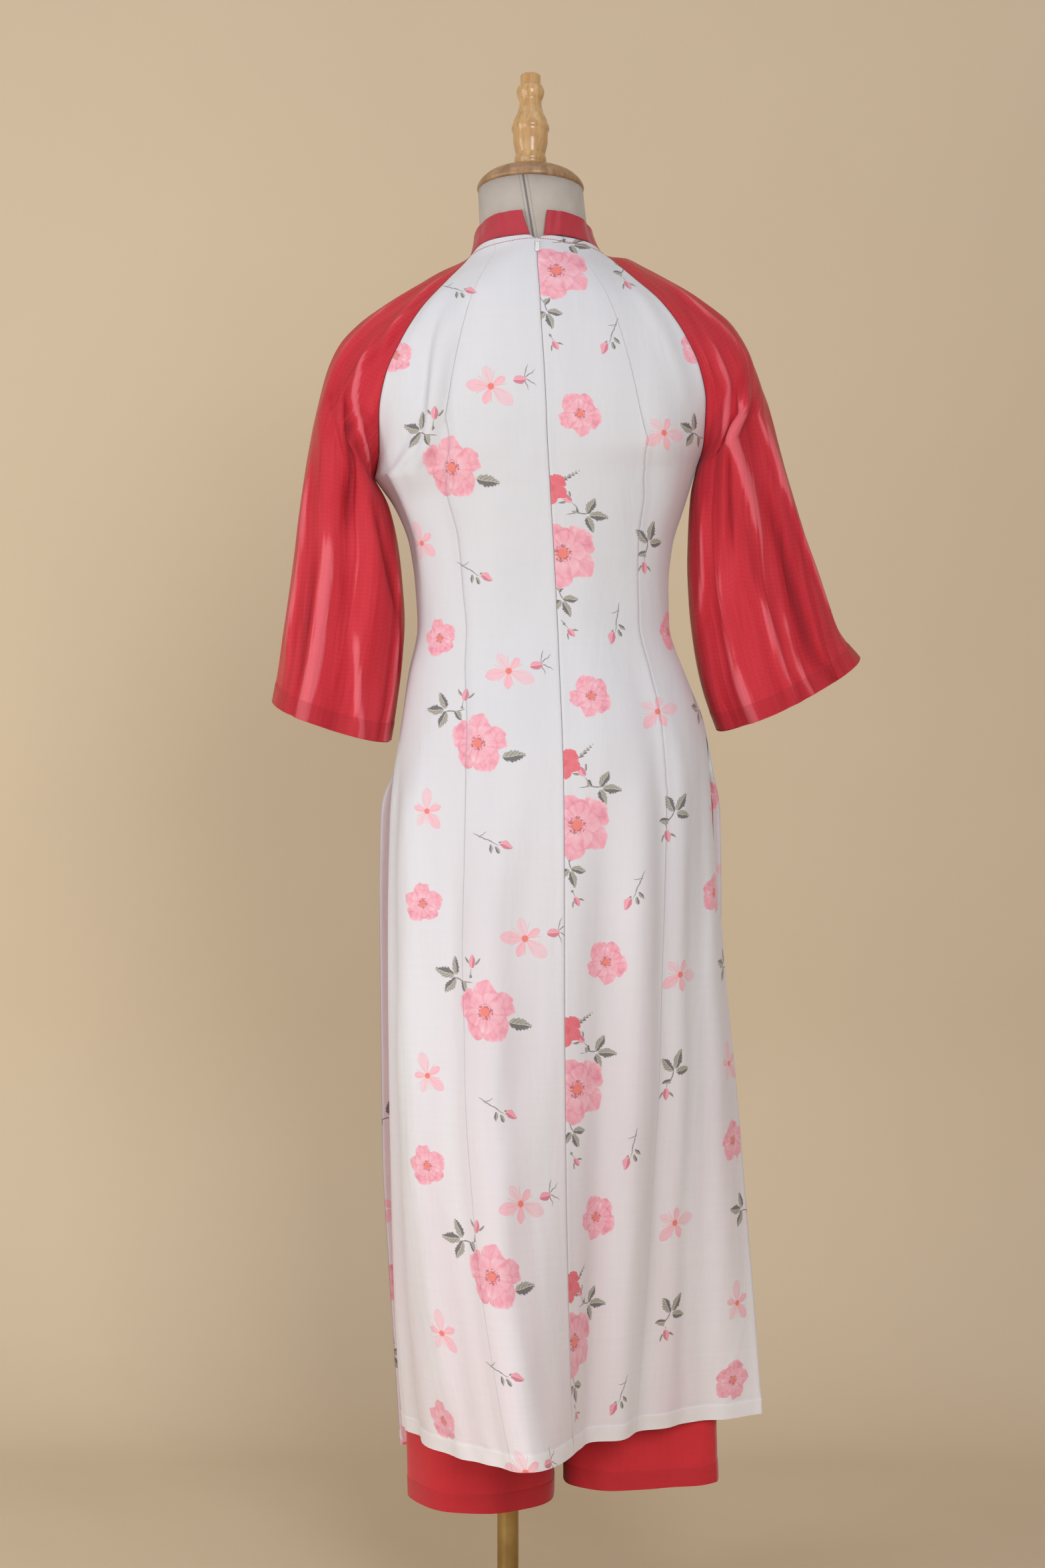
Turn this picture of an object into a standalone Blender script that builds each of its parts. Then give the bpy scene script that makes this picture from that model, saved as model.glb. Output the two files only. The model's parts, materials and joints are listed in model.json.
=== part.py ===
"""An ao dai worn by a limbless dress form: a long tunic with raglan sleeves over wide trousers.

Metres, +Z up. The origin is on the floor under the stand's pole. The garment's back faces -Y, its front
faces +Y, and the wearer's right-hand side is at +X. Each cloth piece is a sheet spanned between its seam
lines: every row of a piece is one cubic curve from seam to seam, and the rows follow the tables below.
"""

from collections import namedtuple
from math import cos, pi, radians, sin, tan

import bmesh
import bpy
import numpy as np
from mathutils import Matrix, Vector

# Cloth
TUNIC_CLOTH = 0.0012
SLEEVE_CLOTH = 0.0011
TROUSER_CLOTH = 0.0013
COLLAR_CLOTH = 0.0016
SEAM_GAP = 0.0003
HALF_GAP = SEAM_GAP / 2

# Neck of the garment: an ellipse that drops towards the front
NECK_X, NECK_Y = 0.0305, 0.013
NECK_HALF_WIDTH, NECK_HALF_DEPTH = 0.072, 0.071
NECK_BACK_Z, NECK_DROP, NECK_DROP_POWER = 1.466, 0.061, 1.6
BACK_RAGLAN_AT, OVERARM_AT, FRONT_RAGLAN_AT = 66.0, 95.0, 128.0
NOTCH_AT = 5.6

# Collar
COLLAR_HEIGHT = 0.026
COLLAR_TOP_X, COLLAR_TOP_Y = 0.0278, 0.009
COLLAR_TOP_HALF_WIDTH, COLLAR_TOP_HALF_DEPTH = 0.0635, 0.0645
COLLAR_TOP_NOTCH_AT = 11.7

# Centre line of the upper body, and how much the right shoulder stands higher than the left
LEAN = 0.024

# Rows of the yoke, from the neck to the underarm. half is the distance of the raglan seam from the middle.
Yoke = namedtuple(
    "Yoke",
    "middle half back_y back_z centre_x centre_y centre_z front_half front_y front_z chest_y chest_z crease",
)
YOKE = (
    Yoke(0.0315, 0.076, -0.028, 1.4450, 0.0305, -0.0640, 1.4575, 0.064, 0.064, 1.411, 0.0865, 1.398, 0.0),
    Yoke(0.0330, 0.098, -0.046, 1.4210, 0.0305, -0.0790, 1.4360, 0.083, 0.072, 1.388, 0.0930, 1.378, 0.0),
    Yoke(0.0350, 0.124, -0.062, 1.3920, 0.0326, -0.0950, 1.4050, 0.105, 0.080, 1.359, 0.1010, 1.352, 0.0),
    Yoke(0.0360, 0.146, -0.070, 1.3570, 0.0345, -0.1075, 1.3660, 0.127, 0.085, 1.326, 0.1110, 1.321, 0.0),
    Yoke(0.0360, 0.161, -0.070, 1.3230, 0.0370, -0.1130, 1.3270, 0.145, 0.084, 1.296, 0.1210, 1.290, 0.08),
    Yoke(0.0360, 0.168, -0.062, 1.2870, 0.0390, -0.1140, 1.2880, 0.158, 0.074, 1.267, 0.1300, 1.262, 0.28),
    Yoke(0.0350, 0.168, -0.043, 1.2510, 0.0405, -0.1110, 1.2500, 0.166, 0.050, 1.242, 0.1340, 1.238, 0.62),
    Yoke(0.0285, 0.168, -0.012, 1.2230, 0.0425, -0.1060, 1.2170, 0.168, -0.012, 1.223, 0.1345, 1.213, 1.0),
)

# Overarm and underarm lines of the two sleeves, from the neck to the hem. depth is half the sleeve's depth.
Arm = namedtuple("Arm", "over_x over_y over_z under_x under_y under_z depth sag")
LEFT_ARM = (
    Arm(-0.0680, 0.010, 1.4400, 0, 0, 0, 0, 0),
    Arm(-0.0980, 0.006, 1.4230, 0, 0, 0, 0, 0),
    Arm(-0.1290, 0.004, 1.4040, 0, 0, 0, 0, 0),
    Arm(-0.1560, 0.004, 1.3850, 0, 0, 0, 0, 0),
    Arm(-0.1760, 0.004, 1.3630, 0, 0, 0, 0.056, 0),
    Arm(-0.1895, 0.004, 1.3320, 0, 0, 0, 0.062, 0),
    Arm(-0.1995, 0.004, 1.2950, 0, 0, 0, 0.066, 0),
    Arm(-0.2075, 0.004, 1.2570, 0, 0, 0, 0.066, 0),
    Arm(-0.2140, 0.004, 1.2210, -0.1250, -0.008, 1.1920, 0.064, 0),
    Arm(-0.2200, 0.005, 1.1830, -0.1160, -0.004, 1.1560, 0.062, 0),
    Arm(-0.2255, 0.006, 1.1400, -0.1110, -0.001, 1.1150, 0.060, 0),
    Arm(-0.2315, 0.008, 1.0980, -0.1085, 0.002, 1.0720, 0.058, 0),
    Arm(-0.2375, 0.010, 1.0580, -0.1110, 0.003, 1.0300, 0.057, 0.003),
    Arm(-0.2430, 0.011, 1.0200, -0.1165, 0.003, 0.9850, 0.056, 0.008),
    Arm(-0.2490, 0.012, 0.9890, -0.1225, 0.002, 0.9480, 0.056, 0.012),
)
RIGHT_ARM = (
    Arm(0.1210, 0.010, 1.4555, 0, 0, 0, 0, 0),
    Arm(0.1460, 0.006, 1.4430, 0, 0, 0, 0, 0),
    Arm(0.1750, 0.004, 1.4260, 0, 0, 0, 0, 0),
    Arm(0.2040, 0.004, 1.4080, 0, 0, 0, 0, 0),
    Arm(0.2320, 0.004, 1.3880, 0, 0, 0, 0.056, 0),
    Arm(0.2505, 0.004, 1.3600, 0, 0, 0, 0.062, 0),
    Arm(0.2630, 0.004, 1.3270, 0, 0, 0, 0.066, 0),
    Arm(0.2755, 0.004, 1.2890, 0, 0, 0, 0.066, 0),
    Arm(0.2860, 0.004, 1.2520, 0.1920, -0.008, 1.2050, 0.064, 0),
    Arm(0.2970, 0.005, 1.2150, 0.1895, -0.004, 1.1700, 0.062, 0),
    Arm(0.3090, 0.006, 1.1750, 0.1885, -0.001, 1.1320, 0.059, 0),
    Arm(0.3220, 0.008, 1.1340, 0.1905, 0.002, 1.0900, 0.056, 0),
    Arm(0.3355, 0.010, 1.0960, 0.1960, 0.005, 1.0450, 0.053, 0.005),
    Arm(0.3510, 0.011, 1.0600, 0.2060, 0.008, 0.9980, 0.051, 0.013),
    Arm(0.3719, 0.012, 1.0345, 0.2200, 0.010, 0.9600, 0.050, 0.016),
)

# Rows of the tunic below the underarm. turn is the way the cloth runs at the middle, in degrees from +X
# towards +Y, and swell is the share of the hem's full flute.
Skirt = namedtuple("Skirt", "z left_x left_y middle_x middle_y turn right_x right_y swell")
BACK = (
    Skirt(1.190, -0.1190, -0.008, 0.0440, -0.1020, 0, 0.1850, -0.008, 0.0),
    Skirt(1.150, -0.1030, -0.005, 0.0465, -0.0960, 0, 0.1730, -0.005, 0.0),
    Skirt(1.105, -0.0970, -0.004, 0.0490, -0.0905, 0, 0.1685, -0.004, 0.0),
    Skirt(1.065, -0.0950, -0.004, 0.0510, -0.0890, 0, 0.1690, -0.004, 0.0),
    Skirt(1.015, -0.1045, -0.006, 0.0530, -0.0960, 0, 0.1865, -0.006, 0.0),
    Skirt(0.965, -0.1115, -0.008, 0.0550, -0.1100, 0, 0.2060, -0.006, 0.0),
    Skirt(0.915, -0.1190, -0.009, 0.0565, -0.1230, 2, 0.2155, -0.006, 0.0),
    Skirt(0.872, -0.1215, -0.028, 0.0570, -0.1280, 4, 0.2185, -0.012, 0.04),
    Skirt(0.780, -0.1230, -0.036, 0.0575, -0.1350, 10, 0.2230, -0.012, 0.15),
    Skirt(0.700, -0.1230, -0.037, 0.0575, -0.1400, 18, 0.2285, -0.009, 0.26),
    Skirt(0.600, -0.1225, -0.038, 0.0580, -0.1450, 28, 0.2390, -0.005, 0.40),
    Skirt(0.500, -0.1215, -0.039, 0.0590, -0.1500, 40, 0.2475, -0.001, 0.55),
    Skirt(0.400, -0.1190, -0.040, 0.0610, -0.1530, 52, 0.2560, 0.003, 0.70),
    Skirt(0.310, -0.1150, -0.040, 0.0635, -0.1550, 64, 0.2635, 0.008, 0.86),
    Skirt(0.235, -0.1092, -0.039, 0.0660, -0.1550, 74, 0.2690, 0.011, 1.0),
)
FRONT = (
    Skirt(1.190, -0.1190, -0.008, 0.0380, 0.1335, 180, 0.1850, -0.008, 0.0),
    Skirt(1.150, -0.1030, -0.005, 0.0380, 0.1285, 180, 0.1730, -0.005, 0.0),
    Skirt(1.105, -0.0970, -0.004, 0.0390, 0.1210, 180, 0.1685, -0.004, 0.0),
    Skirt(1.065, -0.0950, -0.004, 0.0400, 0.1170, 180, 0.1690, -0.004, 0.0),
    Skirt(1.015, -0.1045, -0.006, 0.0410, 0.1160, 180, 0.1865, -0.006, 0.0),
    Skirt(0.965, -0.1115, -0.008, 0.0420, 0.1190, 180, 0.2060, -0.006, 0.0),
    Skirt(0.915, -0.1190, -0.009, 0.0430, 0.1235, 180, 0.2155, -0.006, 0.0),
    Skirt(0.872, -0.1340, 0.006, 0.0435, 0.1280, 180, 0.2240, 0.010, 0.0),
    Skirt(0.780, -0.1365, 0.018, 0.0450, 0.1370, 180, 0.2265, 0.022, 0.0),
    Skirt(0.700, -0.1360, 0.022, 0.0450, 0.1450, 180, 0.2270, 0.036, 0.0),
    Skirt(0.600, -0.1350, 0.026, 0.0460, 0.1560, 180, 0.2275, 0.060, 0.0),
    Skirt(0.500, -0.1335, 0.028, 0.0470, 0.1650, 180, 0.2270, 0.088, 0.0),
    Skirt(0.400, -0.1280, 0.030, 0.0480, 0.1730, 180, 0.2250, 0.114, 0.0),
    Skirt(0.300, -0.1215, 0.030, 0.0500, 0.1800, 180, 0.2220, 0.134, 0.0),
    Skirt(0.197, -0.1150, 0.030, 0.0520, 0.1860, 180, 0.2180, 0.148, 0.0),
)

# Rows of the trousers. seam is the centre back or front seam above the crotch, the inseam below it.
Leg = namedtuple(
    "Leg",
    "side_z seam_z left_x right_x side_y back_seam_y front_seam_y turn left_seam_x right_seam_x "
    "back_side back_seam front_side front_seam",
)
LEGS = (
    Leg(1.044, 1.044, -0.0850, 0.1650, -0.005, -0.0815, 0.0925, 0, 0.0423, 0.0427, 0.045, 0.072, 0.056, 0.078),
    Leg(0.980, 0.980, -0.1010, 0.1850, -0.006, -0.0985, 0.1010, 0, 0.0453, 0.0457, 0.054, 0.082, 0.062, 0.088),
    Leg(0.920, 0.920, -0.1120, 0.2050, -0.006, -0.1130, 0.1080, 0, 0.0473, 0.0477, 0.062, 0.088, 0.066, 0.096),
    Leg(0.870, 0.870, -0.1165, 0.2120, -0.006, -0.1200, 0.1110, 0, 0.0488, 0.0492, 0.066, 0.090, 0.069, 0.098),
    Leg(0.825, 0.815, -0.1180, 0.2140, -0.006, -0.1120, 0.1050, 22, 0.0505, 0.0509, 0.064, 0.088, 0.072, 0.092),
    Leg(0.785, 0.772, -0.1185, 0.2155, -0.006, -0.0760, 0.0720, 58, 0.0515, 0.0521, 0.082, 0.082, 0.090, 0.086),
    Leg(0.752, 0.756, -0.1185, 0.2160, -0.006, 0.0000, 0.0000, 90, 0.0518, 0.0532, 0.135, 0.120, 0.132, 0.130),
    Leg(0.700, 0.705, -0.1180, 0.2160, -0.006, 0.0000, 0.0000, 90, 0.0505, 0.0550, 0.140, 0.134, 0.138, 0.142),
    Leg(0.600, 0.603, -0.1165, 0.2155, -0.007, 0.0020, 0.0020, 90, 0.0500, 0.0560, 0.134, 0.126, 0.142, 0.148),
    Leg(0.500, 0.502, -0.1145, 0.2150, -0.008, 0.0040, 0.0040, 90, 0.0495, 0.0570, 0.126, 0.118, 0.146, 0.154),
    Leg(0.400, 0.401, -0.1120, 0.2150, -0.009, 0.0060, 0.0060, 90, 0.0490, 0.0580, 0.110, 0.122, 0.150, 0.160),
    Leg(0.300, 0.300, -0.1090, 0.2165, -0.010, 0.0080, 0.0080, 90, 0.0488, 0.0585, 0.098, 0.132, 0.154, 0.166),
    Leg(0.225, 0.225, -0.1065, 0.2185, -0.011, 0.0100, 0.0100, 90, 0.0487, 0.0590, 0.090, 0.142, 0.157, 0.172),
    Leg(0.158, 0.156, -0.1045, 0.2205, -0.012, 0.0120, 0.0120, 90, 0.0487, 0.0590, 0.086, 0.150, 0.160, 0.178),
)
RIGHT_BACK_SHARES, RIGHT_FRONT_SHARES = (0.27, 0.56), (0.95, 0.82)
LEG_LOOSE_Z, RIGHT_LEG_SWING = 0.70, 12.0
RIGHT_LEG_LIFT, RIGHT_LEG_AHEAD, RIGHT_INSEAM_AHEAD = 0.008, 0.013, 0.011
WAISTBAND_TOP, WAISTBAND_WALL = 1.078, 0.0022

# Folds: each is a soft ridge (height above 0) or trough that runs from one place of a piece to another.
# u goes across the piece and row down its table rows.
Fold = namedtuple("Fold", "u_top u_end row_top row_end height width")
BACK_LEFT_FOLDS = (
    Fold(0.44, 0.22, 2.0, 12.0, 0.0055, 0.085),
    Fold(0.30, 0.10, 4.0, 11.5, -0.0045, 0.070),
    Fold(0.60, 0.42, 14.0, 23.0, -0.0060, 0.090),
    Fold(0.30, 0.22, 14.5, 23.0, 0.0050, 0.080),
)
BACK_RIGHT_FOLDS = (
    Fold(0.62, 0.60, 4.0, 12.0, 0.0030, 0.120),
    Fold(0.35, 0.38, 14.0, 23.0, 0.0060, 0.090),
    Fold(0.62, 0.64, 14.5, 23.0, -0.0050, 0.080),
    Fold(0.80, 0.82, 15.0, 23.0, 0.0040, 0.070),
)
FRONT_FOLDS = (
    Fold(0.22, 0.18, 11.0, 23.0, 0.0060, 0.050),
    Fold(0.36, 0.34, 12.0, 23.0, -0.0060, 0.045),
    Fold(0.50, 0.52, 13.0, 23.0, 0.0070, 0.050),
    Fold(0.66, 0.68, 12.0, 23.0, -0.0060, 0.045),
    Fold(0.80, 0.83, 11.0, 23.0, 0.0050, 0.050),
)
LEFT_SLEEVE_BACK_FOLDS = (
    Fold(0.50, 0.55, 3.5, 15.0, -0.0060, 0.090),
    Fold(0.68, 0.72, 4.0, 14.0, 0.0070, 0.080),
    Fold(0.30, 0.34, 5.0, 15.0, 0.0040, 0.110),
)
RIGHT_SLEEVE_BACK_FOLDS = (
    Fold(0.45, 0.40, 3.5, 15.0, 0.0065, 0.080),
    Fold(0.28, 0.22, 4.5, 15.0, -0.0055, 0.080),
    Fold(0.66, 0.62, 3.0, 15.0, -0.0045, 0.090),
)
SLEEVE_FRONT_FOLDS = (
    Fold(0.40, 0.36, 4.0, 15.0, -0.0050, 0.090),
    Fold(0.62, 0.60, 4.5, 15.0, 0.0050, 0.090),
)
TROUSER_FOLDS = (Fold(0.35, 0.35, 6.0, 13.0, 0.0040, 0.110), Fold(0.68, 0.68, 7.0, 13.0, -0.0040, 0.100))

# Rows and columns of the cloth meshes
YOKE_ROWS, WAIST_ROWS, FLAP_ROWS, SLEEVE_ROWS = 10, 8, 10, 9
BACK_COLUMNS, FRONT_COLUMNS, SLEEVE_COLUMNS, TROUSER_COLUMNS, TROUSER_ROWS = 11, 19, 10, 9, 15
UNDERARM_ROW, SLIT_ROW, TUNIC_LAST_ROW, SLEEVE_LAST_ROW = 8, 15, 23, 15

# Dress form: rings from its underside to the top of its neck. slope is the fall towards the front.
Ring = namedtuple("Ring", "z x half back front slope square")
TORSO = (
    Ring(0.800, 0.0460, 0.136, -0.094, 0.084, 0.0, 2.1),
    Ring(0.806, 0.0460, 0.142, -0.100, 0.090, 0.0, 2.1),
    Ring(0.835, 0.0460, 0.1485, -0.107, 0.097, 0.0, 2.1),
    Ring(0.875, 0.0460, 0.1510, -0.110, 0.100, 0.0, 2.1),
    Ring(0.930, 0.0450, 0.1440, -0.103, 0.098, 0.0, 2.1),
    Ring(1.000, 0.0430, 0.1275, -0.0875, 0.0905, 0.0, 2.06),
    Ring(1.065, 0.0398, 0.1165, -0.0748, 0.0845, 0.0, 2.02),
    Ring(1.120, 0.0375, 0.1215, -0.0795, 0.1025, 0.0, 2.06),
    Ring(1.175, 0.0365, 0.1370, -0.0900, 0.1218, 0.0, 2.1),
    Ring(1.215, 0.0355, 0.1450, -0.0970, 0.1278, 0.0, 2.1),
    Ring(1.250, 0.0355, 0.1540, -0.103, 0.124, 0.0, 2.1),
    Ring(1.285, 0.0355, 0.1700, -0.107, 0.116, 0.0, 2.05),
    Ring(1.320, 0.0355, 0.1870, -0.1078, 0.1080, 0.01, 2.0),
    Ring(1.350, 0.0361, 0.1922, -0.1053, 0.0998, 0.02, 1.95),
    Ring(1.375, 0.0368, 0.1769, -0.0978, 0.0888, 0.03, 1.92),
    Ring(1.396, 0.0374, 0.1506, -0.0880, 0.0790, 0.04, 1.92),
    Ring(1.413, 0.0365, 0.1175, -0.0785, 0.0680, 0.05, 1.92),
    Ring(1.428, 0.0345, 0.0870, -0.068, 0.062, 0.06, 1.95),
    Ring(1.441, 0.0320, 0.0680, -0.060, 0.060, 0.07, 2.0),
    Ring(1.458, 0.0295, 0.0590, -0.0535, 0.058, 0.09, 2.0),
    Ring(1.490, 0.0265, 0.0565, -0.0510, 0.058, 0.114, 2.0),
    Ring(1.524, 0.0240, 0.0553, -0.0500, 0.057, 0.114, 2.0),
)
TORSO_SIDES = 28
NECK_TILT = 6.5
CAP_X, CAP_Y, CAP_Z = 0.0238, 0.0035, 1.5243

# Stand and turned parts, as radius and height along the axis
Turn = namedtuple("Turn", "radius height")
CAP_PROFILE = (
    Turn(0, 0), Turn(0.0545, 0), Turn(0.0560, 0.0012), Turn(0.0562, 0.0040), Turn(0.0535, 0.0090),
    Turn(0.0470, 0.0150), Turn(0.0380, 0.0195), Turn(0.0290, 0.0222), Turn(0.0215, 0.0232), Turn(0, 0.0232),
)
FINIAL_BASE_Z = 0.0235
FINIAL_PROFILE = (
    Turn(0, 0), Turn(0.0182, 0), Turn(0.0160, 0.0033), Turn(0.0157, 0.0060), Turn(0.0168, 0.0094),
    Turn(0.0164, 0.0132), Turn(0.0154, 0.0160), Turn(0.0163, 0.0204), Turn(0.0181, 0.0286),
    Turn(0.0184, 0.0374), Turn(0.0187, 0.0407), Turn(0.0199, 0.0440), Turn(0.0197, 0.0473),
    Turn(0.0183, 0.0501), Turn(0.0170, 0.0550), Turn(0.0140, 0.0616), Turn(0.0122, 0.0682),
    Turn(0.0117, 0.0748), Turn(0.0128, 0.0775), Turn(0.0145, 0.0825), Turn(0.0145, 0.0869),
    Turn(0.0125, 0.0913), Turn(0.0108, 0.0930), Turn(0.0108, 0.1018), Turn(0.0098, 0.1034), Turn(0, 0.1034),
)
POLE_RADIUS = 0.0112
BASE_RADIUS, BASE_THICK, BOSS_RADIUS, BOSS_HEIGHT = 0.170, 0.012, 0.021, 0.046
TURNED_SIDES = 24

# Zip slider and pull, in the slider's own frame: x across, y up the seam, z out of the cloth
SLIDER_HALF_WIDTH, SLIDER_HALF_LENGTH, SLIDER_THICK = 0.0023, 0.0026, 0.0012
BAIL_HALF_LENGTH, BAIL_HEIGHT, BAIL_BAR, BAIL_HALF_WIDTH = 0.0020, 0.0028, 0.0008, 0.0004
PULL_AXIS_HEIGHT, PULL_THICK, PULL_LENGTH, PULL_TILT = 0.0010, 0.0008, 0.0150, 6.0
SLIDER_Z, SLIDER_LIFT = 1.4570, 0.0006


def clear_scene():
    for old in list(bpy.data.objects):
        bpy.data.objects.remove(old, do_unlink=True)


def finish(name, colour, roughness, metallic=0.0):
    """A Principled material of one colour."""
    made = bpy.data.materials.new(name)
    made.use_nodes = True
    shader = made.node_tree.nodes["Principled BSDF"]
    shader.inputs["Base Color"].default_value = (*colour, 1.0)
    shader.inputs["Roughness"].default_value = roughness
    shader.inputs["Metallic"].default_value = metallic
    return made


def add_object(name, data, material):
    """Puts a mesh or curve in the scene as the node called name."""
    data.materials.append(material)
    made = bpy.data.objects.new(name, data)
    bpy.context.scene.collection.objects.link(made)
    return made


def unit(vector):
    return vector / np.linalg.norm(vector, axis=-1, keepdims=True)


def smooth_step(x):
    x = np.clip(x, 0.0, 1.0)
    return x * x * (3 - 2 * x)


def neck_point(degrees):
    """A point of the neck seam, at an angle round the neck from the centre back towards +X."""
    a = radians(degrees)
    fall = NECK_DROP * ((1 - cos(a)) / 2) ** NECK_DROP_POWER
    return np.array(
        [NECK_X + NECK_HALF_WIDTH * sin(a), NECK_Y - NECK_HALF_DEPTH * cos(a), NECK_BACK_Z - fall]
    )


def neck_run(start, end):
    """The four control points of the stretch of neck seam between two angles."""
    small = 0.01
    reach = 4 / 3 * tan(radians(end - start) / 4) / radians(small)
    first, last = neck_point(start), neck_point(end)
    leave = (neck_point(start + small) - first) * reach
    arrive = (last - neck_point(end - small)) * reach
    return np.array([first, first + leave, last - arrive, last])


def run(first, leave, leave_reach, last, arrive, arrive_reach):
    """The four control points of a row that leaves first one way and arrives at last another way."""
    first, last = np.array(first, float), np.array(last, float)
    return np.array([first, first + leave * leave_reach, last - arrive * arrive_reach, last])


def heading(degrees):
    """A level direction, in degrees from +X towards +Y."""
    return np.array([cos(radians(degrees)), sin(radians(degrees)), 0.0])


def leaning(x, z):
    return z + LEAN * (x - NECK_X)


def raglan(row, side, front):
    """The raglan seam's point in a yoke row, on the left (side -1) or the right (side 1)."""
    half, y, z = (row.front_half, row.front_y, row.front_z) if front else (row.half, row.back_y, row.back_z)
    x = row.middle + side * half
    return np.array([x, y, leaning(x, z)])


def overarm(arm):
    return np.array([arm.over_x, arm.over_y, arm.over_z])


def underarm(arm):
    return np.array([arm.under_x, arm.under_y, arm.under_z])


def seam_headings(row, arm, side, front):
    """The outward ways of body and sleeve at the raglan seam: one smooth way at the shoulder, a crease under the arm."""
    y, z = (row.chest_y, row.chest_z) if front else (row.centre_y, row.centre_z)
    along = unit(overarm(arm) - np.array([row.centre_x, y, z]))
    back_or_front = np.array([0.0, 1.0 if front else -1.0, 0.0])
    share = row.crease
    body = unit((1 - share) * along - share * back_or_front)
    sleeve = unit((1 - share) * along + share * back_or_front)
    return body, sleeve


def yoke_rows(side, front, arms):
    """Rows of half a back or front above the underarm, as control points from the raglan seam to the middle."""
    if front:
        first_row = neck_run(180, side * FRONT_RAGLAN_AT if side > 0 else 360 - FRONT_RAGLAN_AT)[::-1]
    else:
        first_row = neck_run(side * NOTCH_AT, side * BACK_RAGLAN_AT)[::-1]
    rows = [first_row]
    for row, arm in zip(YOKE, arms):
        edge = raglan(row, side, front)
        y, z = (row.chest_y, row.chest_z) if front else (row.centre_y, row.centre_z)
        middle = np.array([row.centre_x, y, z])
        body, _ = seam_headings(row, arm, side, front)
        reach = 0.38 * np.linalg.norm(edge - middle)
        rows.append(run(edge, -body, reach, middle, np.array([-side, 0.0, 0.0]), reach))
    return rows


def back_rows(side):
    """Rows of the left or right back, as control points from its outer edge to the centre back seam."""
    rows = yoke_rows(side, False, LEFT_ARM if side < 0 else RIGHT_ARM)
    for row in BACK:
        x, y = (row.left_x, row.left_y) if side < 0 else (row.right_x, row.right_y)
        wide, deep = abs(row.middle_x - x), abs(row.middle_y - y)
        middle_way = heading(row.turn)
        if side < 0:
            edge_way, edge_reach = heading(-90 + 20 * row.swell), (0.57 + 0.63 * row.swell) * deep
            middle_reach = (0.57 + 0.32 * row.swell) * wide
        else:
            edge_way, edge_reach = heading(-90 - 63 * row.swell), 0.57 * deep
            middle_reach = (0.57 - 0.21 * row.swell) * wide
            middle_way = -middle_way
        rows.append(
            run((x, y, row.z), edge_way, edge_reach, (row.middle_x, row.middle_y, row.z), middle_way, middle_reach)
        )
    return np.array(rows)


def front_rows(side):
    """Rows of half the front, as control points from its outer edge to the centre front."""
    rows = yoke_rows(side, True, LEFT_ARM if side < 0 else RIGHT_ARM)
    for row in FRONT:
        x, y = (row.left_x, row.left_y) if side < 0 else (row.right_x, row.right_y)
        wide, deep = abs(row.middle_x - x), abs(row.middle_y - y)
        rows.append(
            run(
                (x, y, row.z), np.array([0.0, 1.0, 0.0]), 0.60 * deep,
                (row.middle_x, row.middle_y, row.z), np.array([-side, 0.0, 0.0]), 0.62 * wide,
            )
        )
    return np.array(rows)


def sleeve_rows(side, front):
    """Rows of the back or front of a sleeve, as control points from the raglan seam and underarm to the overarm."""
    arms = LEFT_ARM if side < 0 else RIGHT_ARM
    over_at = OVERARM_AT
    raglan_at = FRONT_RAGLAN_AT if front else BACK_RAGLAN_AT
    rows = [neck_run(side * raglan_at, side * over_at)]
    rows[0] = rows[0] + np.array([side * SEAM_GAP, 0.0, 0.0])
    way = np.array([0.0, 1.0 if front else -1.0, 0.0])
    for number, arm in enumerate(arms):
        over = overarm(arm)
        if number < UNDERARM_ROW:
            row = YOKE[number]
            under = raglan(row, side, front)
            _, leave = seam_headings(row, arm, side, front)
            open_reach = 0.38 * np.linalg.norm(over - under)
            reach = (1 - row.crease) * open_reach + row.crease * arm.depth * 4 / 3
        else:
            under, leave, reach = underarm(arm), way, arm.depth * 4 / 3
        under = under + np.array([side * SEAM_GAP, 0.0, 0.0])
        made = run(under, leave, reach, over, -way, reach)
        made[1:3, 2] -= arm.sag * 4 / 3
        rows.append(made)
    return np.array(rows)


def trouser_rows(side, front):
    """Rows of one trouser panel, as control points from the side seam to the centre seam or inseam."""
    rows = []
    for row in LEGS:
        x = row.left_x if side < 0 else row.right_x
        seam_x = row.left_seam_x if side < 0 else row.right_seam_x
        seam_y = row.front_seam_y if front else row.back_seam_y
        side_reach, seam_reach = (row.front_side, row.front_seam) if front else (row.back_side, row.back_seam)
        leg_share = smooth_step((0.87 - row.side_z) / 0.37) if side > 0 else 0.0
        lift, ahead = RIGHT_LEG_LIFT * leg_share, RIGHT_LEG_AHEAD * leg_share
        seam_ahead = RIGHT_INSEAM_AHEAD * leg_share if row.turn == 90 and row.seam_z < LEG_LOOSE_Z else 0.0
        side_share, seam_share = RIGHT_FRONT_SHARES if front else RIGHT_BACK_SHARES
        side_reach *= 1 - (1 - side_share) * leg_share
        seam_reach *= 1 - (1 - seam_share) * leg_share
        forward = 1.0 if front else -1.0
        side_way = forward * heading(90 - RIGHT_LEG_SWING * leg_share)
        seam_way = np.array([-side * cos(radians(row.turn)), -forward * sin(radians(row.turn)), 0.0])
        rows.append(
            run(
                (x, row.side_y + ahead, row.side_z + lift), side_way, side_reach,
                (seam_x, seam_y + seam_ahead, row.seam_z + lift), seam_way, seam_reach,
            )
        )
    return np.array(rows)


def row_slopes(rows):
    """Slopes at the table rows that never carry a curve past the next row."""
    step = np.diff(rows, axis=0)
    before, after = step[:-1], step[1:]
    both = before * after
    total = np.where(both > 0, before + after, 1.0)
    inner = np.where(both > 0, 2 * both / total, 0.0)
    return np.concatenate([step[:1], inner, step[-1:]])


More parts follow.
